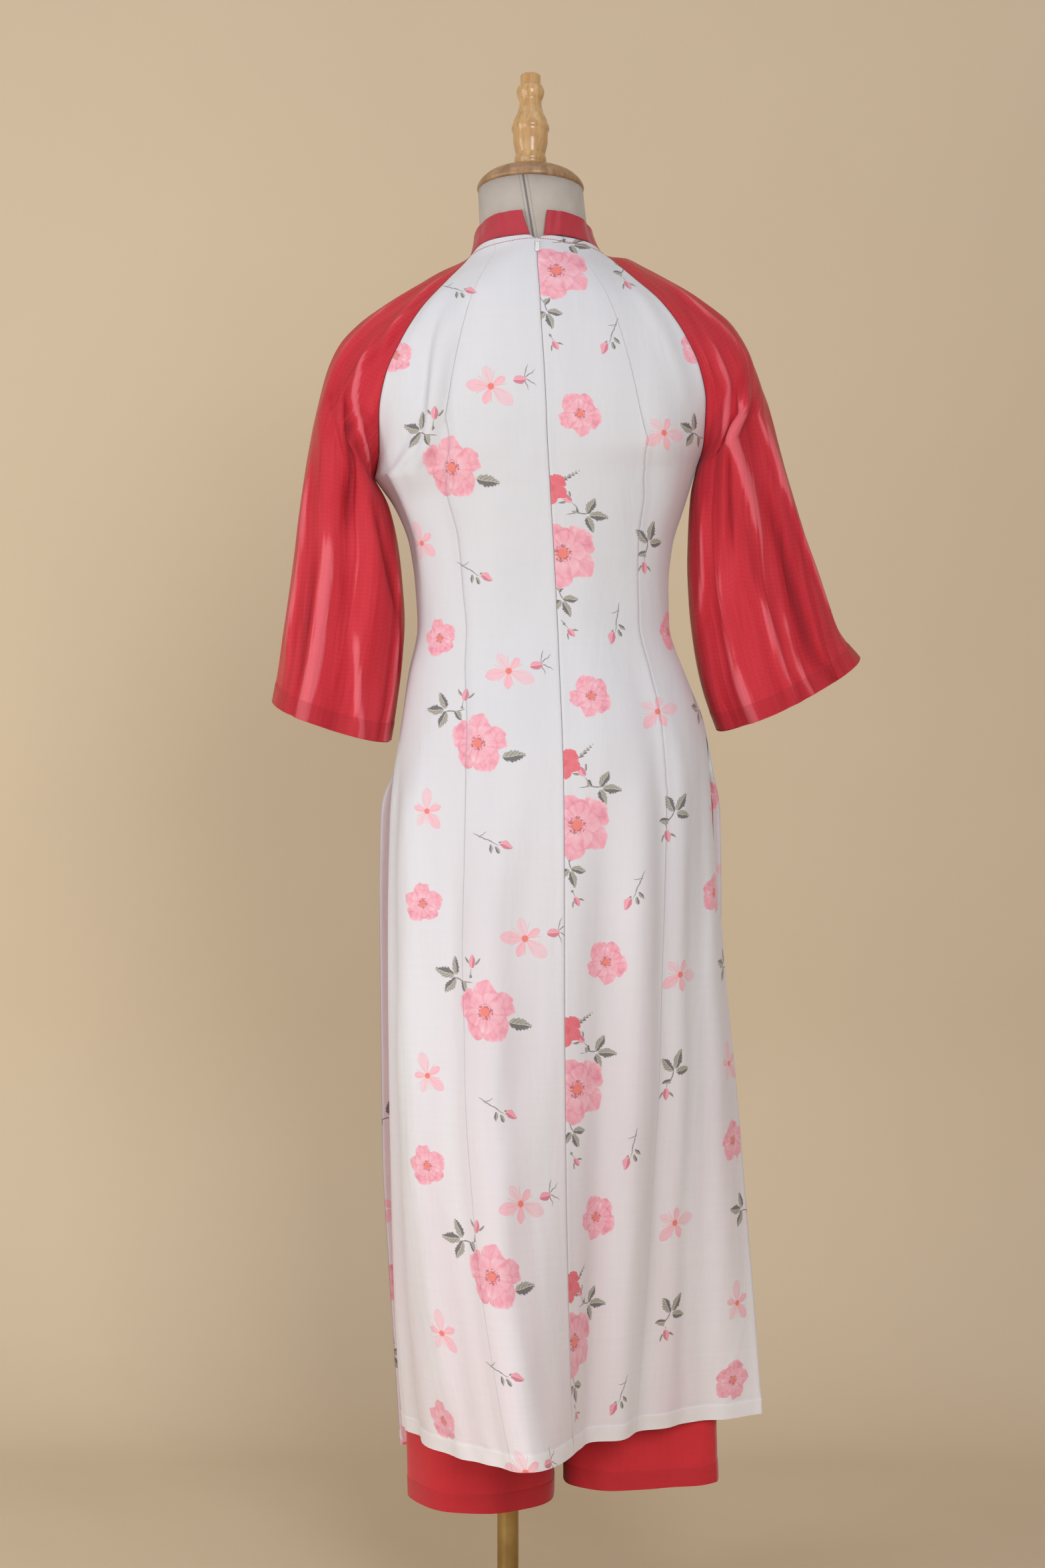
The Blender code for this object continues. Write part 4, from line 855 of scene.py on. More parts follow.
def cut(sheet):
    """The flat size and area that a panel is cut to: its widest row, its longest column and its own area."""
    across, down = np.diff(sheet.grid, axis=1)[:-1], np.diff(sheet.grid, axis=0)[:, :-1]
    area = float(np.linalg.norm(np.cross(across, down), axis=2).sum())
    wide, long = float(sheet.across()[:, -1].max()), float(sheet.down()[-1].max())
    return {"flat": (round(wide, 3), round(long, 3)), "area": round(min(area, wide * long), 4)}


STITCH_START, STITCH_MIDDLE, STITCH_FLAT, STITCH_OUT = 0.2, 0.5, 0.8, 0.2


def stitches(name, line, outward, pitch, material, slot_name, share=0.62, thick=0.00042):
    """A row of thread stitches lying on a line of points."""
    steps = np.concatenate([[0], np.cumsum(np.linalg.norm(np.diff(line, axis=0), axis=1))])
    bm = bmesh.new()
    for number in range(int(steps[-1] / pitch)):
        start = number + STITCH_START
        ends = [
            np.array(
                [np.interp(at * pitch, steps, line[:, i]) for i in range(3)]
            ) for at in (start, start + share)
        ]
        middle = sum(ends) / 2
        middle_at = (number + STITCH_MIDDLE) * pitch
        out = np.array([np.interp(middle_at, steps, outward[:, i]) for i in range(3)])
        along = Vector(ends[1] - ends[0])
        long = along.length
        along.normalize()
        up = (Vector(out) - along * along.dot(Vector(out))).normalized()
        turn = Matrix((along, up.cross(along), up)).transposed().to_4x4()
        shape = Matrix.Diagonal((long, thick, thick * STITCH_FLAT, 1.0))
        at = Matrix.Translation(Vector(middle) + up * thick * STITCH_OUT)
        bmesh.ops.create_icosphere(bm, subdivisions=1, radius=0.5, matrix=at @ turn @ shape)
    return carry(add_object(name, bm, material, 80.0), slot_name)


def at_depth(sheet, deep, from_hem=True):
    """The line on a sheet that lies deep above its hem, or below its top edge, and the way out along it."""
    low, out = sheet.down(), sheet.out()
    far = low[-1] - low if from_hem else low
    near = np.abs(far - deep).argmin(axis=0)
    columns = np.arange(sheet.grid.shape[1])
    other = np.clip(near + np.where((far[near, columns] > deep) == from_hem, 1, -1), 0, len(low) - 1)
    gap = far[other, columns] - far[near, columns]
    share = np.where(
        np.abs(gap) > 1e-9, (deep - far[near, columns]) / np.where(np.abs(gap) > 1e-9, gap, 1.0), 0.0
    )
    return sheet.grid[near, columns] + (
        sheet.grid[other, columns] - sheet.grid[near, columns]
    ) * share[:, None], out[near, columns]


def weave_group():
    """A plain weave with slubs: a height for the bump, and the slubs' uneven shade. Yarn is its fineness."""
    made, given, result = group(
        "plain weave", [("Place", "Vector"), ("Yarn", "Float")], [("Height", "Float"), ("Shade", "Float")]
    )
    warp = node(
        made, "ShaderNodeTexWave", {"Vector": given["Place"], "Scale": given["Yarn"], "Distortion": 1.5},
        bands_direction="X"
    )
    weft = node(
        made, "ShaderNodeTexWave", {"Vector": given["Place"], "Scale": given["Yarn"], "Distortion": 1.5},
        bands_direction="Y"
    )
    wire(times(warp.outputs[1], weft.outputs[1]), result["Height"])
    shades = []
    for scale in ((210.0, 9.0, 1.0), (8.0, 230.0, 1.0)):
        along = scaled(given["Place"], *scale)
        shades.append(noisy(along, 1.0, 3.0))
    wire(times(plus(*shades), 0.5), result["Shade"])
    return made


plain_weave = weave_group()


def sewn_cloth(name):
    """A cloth material, its UV place, its sewing attribute's three values and its weave's node."""
    made, tree, shader, _ = new_material(name)
    flat = node(tree, "ShaderNodeUVMap", uv_map="cloth").outputs[0]
    sewing = parts_of(node(tree, "ShaderNodeAttribute", attribute_name="sewing").outputs["Vector"])
    weave = node(tree, "ShaderNodeGroup", node_tree=plain_weave)
    wire(flat, weave.inputs["Place"])
    return made, tree, shader, flat, sewing, weave


def plain_cloth(name, colour, shade, roughness, yarn, sheen, hem=0.0, edge_dark=0.5):
    """A woven cloth with soft blotches of darker tone, painted shade in its seams' grooves, and its doubled hem
    drawn from the sewing.
    """
    made, tree, shader, flat, sewing, weave = sewn_cloth(name)
    weave.inputs["Yarn"].default_value = yarn
    blotch = noisy(flat, 14.0, 5.0, rough=0.6)
    tone = times_plus(weave.outputs["Height"], 0.2, times(blotch, 0.45))
    tone = times_plus(weave.outputs["Shade"], 0.35, tone)
    # Painted shade: the colour darkens within 2.2 mm of a seam edge, where the seam's groove is. The turned-up hem is
    # darker for its doubled cloth.
    seam = minus(1.0, math("DIVIDE", sewing[0], 0.0022), clamp=True)
    turned_up = times(times(minus(hem, sewing[1]), 1400.0, clamp=True), 0.3)
    dark = most(times(seam, edge_dark), turned_up)
    toned = ramp(tone, (0.25, shade), (0.72, colour))
    wire(blend(dark, toned, tuple(0.6 * c for c in shade)), shader.inputs["Base Color"])
    shader.inputs["Roughness"].default_value = roughness
    shader.inputs["Specular IOR Level"].default_value = 0.3
    shader.inputs["Sheen Weight"].default_value = sheen
    shader.inputs["Sheen Roughness"].default_value = 0.4
    crumple = noisy(flat, 45.0, 4.0, bent=0.5)
    height = plus(times(weave.outputs["Height"], 0.12), minus(crumple, seam))
    bumped(shader, 0.4, 0.0016, height)
    return made


def seam_thread(name, colour):
    made, tree, shader, _ = new_material(name)
    place = own_place(tree)
    twist = noisy(place, 2600.0, 1.0)
    wire(ramp(twist, (0.3, tuple(0.75 * c for c in colour)), (0.7, colour)), shader.inputs["Base Color"])
    shader.inputs["Roughness"].default_value = 0.6
    return made


def trouser_rows(side, front):
    """Rows of one trouser panel, as control points from the side seam to the centre seam or inseam."""
    rows = []
    for row in LEGS:
        x = row.left_x if side < 0 else row.right_x
        seam_x = row.left_seam_x if side < 0 else row.right_seam_x
        seam_y = row.front_seam_y if front else row.back_seam_y
        side_reach, seam_reach = (
            row.front_side, row.front_seam
        ) if front else (row.back_side, row.back_seam)
        leg_share = smooth_step((0.87 - row.side_z) / 0.37) if side > 0 else 0.0
        lift, ahead = RIGHT_LEG_LIFT * leg_share, RIGHT_LEG_AHEAD * leg_share
        seam_ahead = RIGHT_INSEAM_AHEAD * leg_share if row.turn == 90 and row.seam_z < LEG_LOOSE_Z else 0.0
        side_share, seam_share = RIGHT_FRONT_SHARES if front else RIGHT_BACK_SHARES
        side_reach *= 1 - (1 - side_share) * leg_share
        seam_reach *= 1 - (1 - seam_share) * leg_share
        forward = 1.0 if front else -1.0
        side_way = forward * heading(90 - RIGHT_LEG_SWING * leg_share)
        seam_way = np.array([-side * cos(radians(row.turn)), -forward * sin(radians(row.turn)), 0.0])
        rows.append(
            run(
                (x, row.side_y + ahead, row.side_z + lift), side_way, side_reach,
                (seam_x, seam_y + seam_ahead, row.seam_z + lift), seam_way, seam_reach,
            )
        )
    return np.array(rows)



TROUSER_FOLDS = (Fold(0.35, 0.35, 6.0, 13.0, 0.0040, 0.110), Fold(0.68, 0.68, 7.0, 13.0, -0.0040, 0.100))
crepe = plain_cloth("red crepe", (0.66, 0.028, 0.040), (0.52, 0.018, 0.027), 0.72, 420.0, 0.25, TROUSER_HEM)
crepe_thread = seam_thread("trouser thread", (0.46, 0.02, 0.03))
trouser_at = rows_at((0, 12.65, len(LEGS) - 1), TROUSER_ROWS_FINE)
for number, (name, side, front) in enumerate((
    ("back_left", -1, False), ("back_right", 1, False), ("front_left", -1, True), ("front_right", 1, True),
)):
    panel = span(trouser_rows(side, front), trouser_at, TROUSER_COLUMNS_FINE)
    if (side > 0) != front:
        panel = panel.turned_round()
    panel = add_folds(panel, trouser_at, TROUSER_FOLDS, len(LEGS) - 1)
    panel = uneven(panel, 40 + number, 0.0012, 0.09, 0.5)
    panel = hemmed(panel, TROUSER_HEM, 0.0005, 0.0002)
    piece = cloth("crepe_" + name, panel, TROUSER_WALL, crepe, "red_crepe", "trouser_" + name)
    thread = stitches(
        "trouser_stitches_" + name, *at_depth(panel, TROUSER_HEM), 0.0031, crepe_thread, "red_crepe"
    )
    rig.sheet(piece, held="hung", rests_on=["form_torso"], with_pieces=[thread], **cut(panel))
band = frame["nodes"]["trouser_waistband"]
band.material_slots[0].material = crepe

# Tunic front: one panel of printed white voile from the neck to the front hem, open at both sides below
# the slits. The neck is an ellipse that drops towards the front.
NECK_X, NECK_Y = 0.0305, 0.013
NECK_HALF_WIDTH, NECK_HALF_DEPTH = 0.072, 0.071
NECK_BACK_Z, NECK_DROP, NECK_DROP_POWER = 1.466, 0.061, 1.6
BACK_RAGLAN_AT, OVERARM_AT, FRONT_RAGLAN_AT = 66.0, 95.0, 128.0
NOTCH_AT = 5.6

# Centre line of the upper body, and how much the right shoulder stands higher than the left
LEAN = 0.024

# Rows of the yoke, from the neck to the underarm. half is the distance of the raglan seam from the middle.
Yoke = namedtuple(
    "Yoke",
    "middle half back_y back_z centre_x centre_y centre_z front_half front_y front_z chest_y chest_z crease",
)
YOKE = (
    Yoke(0.0315, 0.076, -0.028, 1.4450, 0.0305, -0.0640, 1.4575, 0.064, 0.064, 1.411, 0.0865, 1.398, 0.0),
    Yoke(0.0330, 0.098, -0.046, 1.4210, 0.0305, -0.0790, 1.4360, 0.083, 0.072, 1.388, 0.0930, 1.378, 0.0),
    Yoke(0.0350, 0.124, -0.062, 1.3920, 0.0326, -0.0950, 1.4050, 0.105, 0.080, 1.359, 0.1010, 1.352, 0.0),
    Yoke(0.0360, 0.146, -0.070, 1.3570, 0.0345, -0.1075, 1.3660, 0.127, 0.085, 1.326, 0.1110, 1.321, 0.0),
    Yoke(0.0360, 0.161, -0.070, 1.3230, 0.0370, -0.1130, 1.3270, 0.145, 0.084, 1.296, 0.1210, 1.290, 0.08),
    Yoke(0.0360, 0.168, -0.062, 1.2870, 0.0390, -0.1140, 1.2880, 0.158, 0.074, 1.267, 0.1300, 1.262, 0.28),
    Yoke(0.0350, 0.168, -0.043, 1.2510, 0.0405, -0.1110, 1.2500, 0.166, 0.050, 1.242, 0.1340, 1.238, 0.62),
    Yoke(0.0285, 0.168, -0.012, 1.2230, 0.0425, -0.1060, 1.2170, 0.168, -0.012, 1.223, 0.1345, 1.213, 1.0),
)

# Overarm and underarm lines of the two sleeves, from the neck to the hem. depth is half the sleeve's depth.
Arm = namedtuple("Arm", "over_x over_y over_z under_x under_y under_z depth sag")
LEFT_ARM = (
    Arm(-0.0680, 0.010, 1.4400, 0, 0, 0, 0, 0),
    Arm(-0.0980, 0.006, 1.4230, 0, 0, 0, 0, 0),
    Arm(-0.1290, 0.004, 1.4040, 0, 0, 0, 0, 0),
    Arm(-0.1560, 0.004, 1.3850, 0, 0, 0, 0, 0),
    Arm(-0.1760, 0.004, 1.3630, 0, 0, 0, 0.056, 0),
    Arm(-0.1895, 0.004, 1.3320, 0, 0, 0, 0.062, 0),
    Arm(-0.1995, 0.004, 1.2950, 0, 0, 0, 0.066, 0),
    Arm(-0.2075, 0.004, 1.2570, 0, 0, 0, 0.066, 0),
    Arm(-0.2140, 0.004, 1.2210, -0.1250, -0.008, 1.1920, 0.064, 0),
    Arm(-0.2200, 0.005, 1.1830, -0.1160, -0.004, 1.1560, 0.062, 0),
    Arm(-0.2255, 0.006, 1.1400, -0.1110, -0.001, 1.1150, 0.060, 0),
    Arm(-0.2315, 0.008, 1.0980, -0.1085, 0.002, 1.0720, 0.058, 0),
    Arm(-0.2375, 0.010, 1.0580, -0.1110, 0.003, 1.0300, 0.057, 0.003),
    Arm(-0.2430, 0.011, 1.0200, -0.1165, 0.003, 0.9850, 0.056, 0.008),
    Arm(-0.2490, 0.012, 0.9890, -0.1225, 0.002, 0.9480, 0.056, 0.012),
)
RIGHT_ARM = (
    Arm(0.1210, 0.010, 1.4555, 0, 0, 0, 0, 0),
    Arm(0.1460, 0.006, 1.4430, 0, 0, 0, 0, 0),
    Arm(0.1750, 0.004, 1.4260, 0, 0, 0, 0, 0),
    Arm(0.2040, 0.004, 1.4080, 0, 0, 0, 0, 0),
    Arm(0.2320, 0.004, 1.3880, 0, 0, 0, 0.056, 0),
    Arm(0.2505, 0.004, 1.3600, 0, 0, 0, 0.062, 0),
    Arm(0.2630, 0.004, 1.3270, 0, 0, 0, 0.066, 0),
    Arm(0.2755, 0.004, 1.2890, 0, 0, 0, 0.066, 0),
    Arm(0.2860, 0.004, 1.2520, 0.1920, -0.008, 1.2050, 0.064, 0),
    Arm(0.2970, 0.005, 1.2150, 0.1895, -0.004, 1.1700, 0.062, 0),
    Arm(0.3090, 0.006, 1.1750, 0.1885, -0.001, 1.1320, 0.059, 0),
    Arm(0.3220, 0.008, 1.1340, 0.1905, 0.002, 1.0900, 0.056, 0),
    Arm(0.3355, 0.010, 1.0960, 0.1960, 0.005, 1.0450, 0.053, 0.005),
    Arm(0.3510, 0.011, 1.0600, 0.2060, 0.008, 0.9980, 0.051, 0.013),
    Arm(0.3719, 0.012, 1.0345, 0.2200, 0.010, 0.9600, 0.050, 0.016),
)
# Rows of the tunic below the underarm. turn is the way the cloth runs at the middle, in degrees from +X
# towards +Y, and swell is the share of the hem's full flute.
Skirt = namedtuple("Skirt", "z left_x left_y middle_x middle_y turn right_x right_y swell")
BACK = (
    Skirt(1.190, -0.1190, -0.008, 0.0440, -0.1020, 0, 0.1850, -0.008, 0.0),
    Skirt(1.150, -0.1030, -0.005, 0.0465, -0.0960, 0, 0.1730, -0.005, 0.0),
    Skirt(1.105, -0.0970, -0.004, 0.0490, -0.0905, 0, 0.1685, -0.004, 0.0),
    Skirt(1.065, -0.0950, -0.004, 0.0510, -0.0890, 0, 0.1690, -0.004, 0.0),
    Skirt(1.015, -0.1045, -0.006, 0.0530, -0.0960, 0, 0.1865, -0.006, 0.0),
    Skirt(0.965, -0.1115, -0.008, 0.0550, -0.1100, 0, 0.2060, -0.006, 0.0),
    Skirt(0.915, -0.1190, -0.009, 0.0565, -0.1230, 2, 0.2155, -0.006, 0.0),
    Skirt(0.872, -0.1215, -0.028, 0.0570, -0.1280, 4, 0.2185, -0.012, 0.04),
    Skirt(0.780, -0.1230, -0.036, 0.0575, -0.1350, 10, 0.2230, -0.012, 0.15),
    Skirt(0.700, -0.1230, -0.037, 0.0575, -0.1400, 18, 0.2285, -0.009, 0.26),
    Skirt(0.600, -0.1225, -0.038, 0.0580, -0.1450, 28, 0.2390, -0.005, 0.40),
    Skirt(0.500, -0.1215, -0.039, 0.0590, -0.1500, 40, 0.2475, -0.001, 0.55),
    Skirt(0.400, -0.1190, -0.040, 0.0610, -0.1530, 52, 0.2560, 0.003, 0.70),
    Skirt(0.310, -0.1150, -0.040, 0.0635, -0.1550, 64, 0.2635, 0.008, 0.86),
    Skirt(0.235, -0.1092, -0.039, 0.0660, -0.1550, 74, 0.2690, 0.011, 1.0),
)
FRONT = (
    Skirt(1.190, -0.1190, -0.008, 0.0380, 0.1335, 180, 0.1850, -0.008, 0.0),
    Skirt(1.150, -0.1030, -0.005, 0.0380, 0.1285, 180, 0.1730, -0.005, 0.0),
    Skirt(1.105, -0.0970, -0.004, 0.0390, 0.1210, 180, 0.1685, -0.004, 0.0),
    Skirt(1.065, -0.0950, -0.004, 0.0400, 0.1170, 180, 0.1690, -0.004, 0.0),
    Skirt(1.015, -0.1045, -0.006, 0.0410, 0.1160, 180, 0.1865, -0.006, 0.0),
    Skirt(0.965, -0.1115, -0.008, 0.0420, 0.1190, 180, 0.2060, -0.006, 0.0),
    Skirt(0.915, -0.1190, -0.009, 0.0430, 0.1235, 180, 0.2155, -0.006, 0.0),
    Skirt(0.872, -0.1340, 0.006, 0.0435, 0.1280, 180, 0.2240, 0.010, 0.0),
    Skirt(0.780, -0.1365, 0.018, 0.0450, 0.1370, 180, 0.2265, 0.022, 0.0),
    Skirt(0.700, -0.1360, 0.022, 0.0450, 0.1450, 180, 0.2270, 0.036, 0.0),
    Skirt(0.600, -0.1350, 0.026, 0.0460, 0.1560, 180, 0.2275, 0.060, 0.0),
    Skirt(0.500, -0.1335, 0.028, 0.0470, 0.1650, 180, 0.2270, 0.088, 0.0),
    Skirt(0.400, -0.1280, 0.030, 0.0480, 0.1730, 180, 0.2250, 0.114, 0.0),
    Skirt(0.300, -0.1215, 0.030, 0.0500, 0.1800, 180, 0.2220, 0.134, 0.0),
    Skirt(0.197, -0.1150, 0.030, 0.0520, 0.1860, 180, 0.2180, 0.148, 0.0),
)
TUNIC_WALL, TUNIC_HEM = 0.0008, 0.017
UNDERARM_ROW, SLIT_ROW, TUNIC_LAST_ROW, HEM_STOP = 8, 15, 23, 22.7
TUNIC_COUNTS = (58, 62, 150, 14)
tunic_at = rows_at((0, UNDERARM_ROW, SLIT_ROW, HEM_STOP, TUNIC_LAST_ROW), TUNIC_COUNTS)
tunic_corners, tunic_sewn = (UNDERARM_ROW, SLIT_ROW), (TUNIC_COUNTS[0], TUNIC_COUNTS[0] + TUNIC_COUNTS[1])


def neck_point(degrees):
    """A point of the neck seam, at an angle round the neck from the centre back towards +X."""
    a = radians(degrees)
    fall = NECK_DROP * ((1 - cos(a)) / 2) ** NECK_DROP_POWER
    return np.array(
        [NECK_X + NECK_HALF_WIDTH * sin(a), NECK_Y - NECK_HALF_DEPTH * cos(a), NECK_BACK_Z - fall]
    )


def neck_run(start, end):
    """The four control points of the stretch of neck seam between two angles."""
    small = 0.01
    reach = 4 / 3 * tan(radians(end - start) / 4) / radians(small)
    first, last = neck_point(start), neck_point(end)
    leave = (neck_point(start + small) - first) * reach
    arrive = (last - neck_point(end - small)) * reach
    return np.array([first, first + leave, last - arrive, last])


def leaning(x, z):
    return z + LEAN * (x - NECK_X)


def raglan(row, side, front):
    """The raglan seam's point in a yoke row, on the left (side -1) or the right (side 1)."""
    half, y, z = (row.front_half, row.front_y, row.front_z) if front else (row.half, row.back_y, row.back_z)
    x = row.middle + side * half
    return np.array([x, y, leaning(x, z)])


def overarm(arm):
    return np.array([arm.over_x, arm.over_y, arm.over_z])


def underarm(arm):
    return np.array([arm.under_x, arm.under_y, arm.under_z])


def seam_headings(row, arm, front):
    """The outward ways of body and sleeve at the raglan seam: one at the shoulder, a crease under the arm."""
    y, z = (row.chest_y, row.chest_z) if front else (row.centre_y, row.centre_z)
    along = unit(overarm(arm) - np.array([row.centre_x, y, z]))
    back_or_front = np.array([0.0, 1.0 if front else -1.0, 0.0])
    share = row.crease
    body = unit((1 - share) * along - share * back_or_front)
    sleeve = unit((1 - share) * along + share * back_or_front)
    return body, sleeve


def yoke_rows(side, front, arms):
    """Rows of half a back or front above the underarm, as control points from the seam to the middle."""
    if front:
        first_row = neck_run(180, side * FRONT_RAGLAN_AT if side > 0 else 360 - FRONT_RAGLAN_AT)[::-1]
    else:
        first_row = neck_run(side * NOTCH_AT, side * BACK_RAGLAN_AT)[::-1]
    rows = [first_row]
    for row, arm in zip(YOKE, arms):
        edge = raglan(row, side, front)
        y, z = (row.chest_y, row.chest_z) if front else (row.centre_y, row.centre_z)
        middle = np.array([row.centre_x, y, z])
        body, _ = seam_headings(row, arm, front)
        reach = 0.38 * np.linalg.norm(edge - middle)
        rows.append(run(edge, -body, reach, middle, np.array([-side, 0.0, 0.0]), reach))
    return rows


def front_rows(side):
    """Rows of half the front, as control points from its outer edge to the centre front."""
    rows = yoke_rows(side, True, LEFT_ARM if side < 0 else RIGHT_ARM)
    for row in FRONT:
        x, y = (row.left_x, row.left_y) if side < 0 else (row.right_x, row.right_y)
        wide, deep = abs(row.middle_x - x), abs(row.middle_y - y)
        rows.append(
            run(
                (x, y, row.z), np.array([0.0, 1.0, 0.0]), 0.60 * deep,
                (row.middle_x, row.middle_y, row.z), np.array([-side, 0.0, 0.0]), 0.62 * wide,
            )
        )
    return np.array(rows)


FRONT_FOLDS = (
    Fold(0.22, 0.18, 11.0, 23.0, 0.0060, 0.050),
    Fold(0.36, 0.34, 12.0, 23.0, -0.0060, 0.045),
    Fold(0.50, 0.52, 13.0, 23.0, 0.0070, 0.050),
    Fold(0.66, 0.68, 12.0, 23.0, -0.0060, 0.045),
    Fold(0.80, 0.83, 11.0, 23.0, 0.0050, 0.050),
)
# The voile's print, drawn by node groups. Every face knows its nearest flower and its nearest leaf motif, and
# its corners hold the place within it: across and down in units of the motif's size, and the motif's kind. A
# kind below 0 is drawn mirrored.
ROSE, LOOSE, RED_ROSE = 1.0, 2.0, 3.0
SPRAY, BUD, STEM, LEAF, SPIDER, FERN = 1.0, 2.0, 3.0, 4.0, 5.0, 6.0
Motif = namedtuple("Motif", "kind down turn size across")
FLOWERS = (
    Motif(ROSE, 0.00, 80, 0.0370, (0.019, 0.009, 0.013, 0.014, 0.009)),
    Motif(ROSE, 0.523, 20, 0.0235, (0.034, 0.031, 0.047, 0.045, 0.045)),
    Motif(LOOSE, 0.58, 75, 0.0255, (0.121, 0.103, 0.138, 0.148, 0.150)),
    Motif(ROSE, 0.27, 130, 0.0225, (0.170, 0.139, 0.196, 0.229, 0.236)),
    Motif(LOOSE, 0.95, 170, 0.0240, (0.190, 0.200, 0.224, 0.237, 0.240)),
    Motif(RED_ROSE, 0.775, 90, 0.0175, (0.001, 0.001, 0.002, 0.002, 0.002)),
    Motif(ROSE, 0.70, 200, 0.0325, (-0.100, -0.087, -0.082, -0.093, -0.095)),
    Motif(LOOSE, 0.428, 40, 0.0275, (-0.055, -0.052, -0.040, -0.055, -0.091)),
    Motif(LOOSE, -0.05, 170, 0.0230, (-0.150, -0.146, -0.145, -0.153, -0.168)),
    Motif(ROSE, 0.30, 280, 0.0215, (-0.163, -0.129, -0.154, -0.160, -0.194)),
)
LEAVES = (
    Motif(SPRAY, 0.865, -10, 0.0215, (0.036, 0.037, 0.038, 0.038, 0.038)),
    Motif(BUD, 0.820, 130, 0.0125, (0.020, 0.021, 0.021, 0.021, 0.021)),
    Motif(FERN, 0.735, 25, 0.0155, (0.020, 0.022, 0.022, 0.020, 0.020)),
    Motif(SPRAY, 1.165, -75, 0.0185, (0.006, 0.006, 0.008, 0.007, 0.006)),
    Motif(BUD, 1.275, -60, 0.0100, (0.011, 0.011, 0.011, 0.011, 0.011)),
    Motif(-STEM, 0.255, 240, 0.0225, (0.072, 0.063, 0.076, 0.081, 0.082)),
    Motif(SPRAY, -0.045, 60, 0.0225, (0.100, 0.104, 0.122, 0.135, 0.150)),
    Motif(BUD, 0.025, -85, 0.0120, (0.095, 0.098, 0.114, 0.127, 0.145)),
    Motif(SPRAY, 0.565, 165, 0.0220, (0.165, 0.178, 0.225, 0.246, 0.250)),
    Motif(SPRAY, 0.575, 165, 0.0235, (-0.135, -0.122, -0.118, -0.128, -0.130)),
    Motif(BUD, 0.535, 75, 0.0130, (-0.115, -0.101, -0.096, -0.108, -0.110)),
    Motif(LEAF, 0.755, -10, 0.0145, (-0.063, -0.049, -0.046, -0.058, -0.060)),
    Motif(STEM, 0.068, -14, 0.0225, (-0.086, -0.085, -0.073, -0.073, -0.097)),
    Motif(SPIDER, 0.400, 8, 0.0150, (-0.021, -0.019, -0.007, -0.022, -0.058)),
)
WOBBLE, WOBBLE_BY_REPEAT, WOBBLE_BY_PLACE = 9, 3.1, 40
REPEATS, REPEAT_DOWN = (-1, 0, 1, 2, 3, 4, 5), (-0.246, 0.054, 0.3495, 0.630, 0.894, 1.145, 1.400)


def placed(motifs, side=0, shift_across=0.0, shift_down=0.0):
    """Every motif on a panel as rows of kind, across, down, turn and size. A back panel holds the motifs of
    its own side only, since the cloth is cut at the centre back."""
    rows = []
    for motif in motifs:
        if side * motif.across[1] < 0:
            continue
        for repeat in range(-1, 5):
            across = motif.across[min(max(repeat, 0), 4)]
            down = np.interp(repeat + motif.down + shift_down, REPEATS, REPEAT_DOWN)
            wobble = WOBBLE * sin(WOBBLE_BY_REPEAT * repeat + WOBBLE_BY_PLACE * motif.down)
            rows.append((motif.kind, across + shift_across, down, radians(motif.turn + wobble), motif.size))
    return np.array(rows)


def lay_print(mesh, name, motifs):
    """Stores the nearest motif's own coordinates and kind on every face corner."""
    uv = np.zeros(len(mesh.loops) * 2)
    mesh.uv_layers["cloth"].data.foreach_get("uv", uv)
    corners = uv.reshape(-1, 4, 2)
    gap = np.linalg.norm(corners.mean(axis=1)[:, None] - motifs[None, :, 1:3], axis=2) / motifs[None, :, 4]
    near = motifs[gap.argmin(axis=1)]
    off = corners - near[:, None, 1:3]
    turn_cos, turn_sin = np.cos(near[:, 3])[:, None], np.sin(near[:, 3])[:, None]
    right, up = off[..., 0], -off[..., 1]
    local = np.stack([
        (right * turn_cos + up * turn_sin) / near[:, 4][:, None],
        (up * turn_cos - right * turn_sin) / (near[:, 4] * np.sign(near[:, 0]))[:, None],
        np.repeat(np.abs(near[:, 0])[:, None], 4, axis=1),
    ], axis=-1)
    mesh.attributes.new(name, "FLOAT_VECTOR", "CORNER").data.foreach_set("vector", local.ravel())


def leaf_group():
    """One leaf along X from 0 to 1, its edges at Y -1 and 1: its mask, and a tone with midrib and veins."""
    made, given, result = group(
        "leaf", [("Place", "Vector"), ("Teeth", "Float")], [("Mask", "Float"), ("Tone", "Float")]
    )
    x, y, _ = parts_of(given["Place"])
    side = size_of(y)
    arch = times(times(x, 4.0), minus(1.0, x), clamp=True)
    wide = times(math("POWER", arch, 0.72), times_plus(x, -0.45, 1.15))
    tooth = math("FRACT", times_plus(side, -1.4, times(x, 6.0)))
    wide = minus(wide, times(tooth, given["Teeth"]))
    wire(times(minus(wide, side), 7.0, clamp=True), result["Mask"])
    half = times(math("GREATER_THAN", y, 0.0), 0.34)
    rib = math("LESS_THAN", side, 0.06)
    veins = math("SINE", times_plus(side, -13.0, times(x, 38.0)))
    tone = most(times_plus(veins, 0.10, plus(half, 0.25)), times(rib, 0.8))
    wire(tone, result["Tone"])
    return made


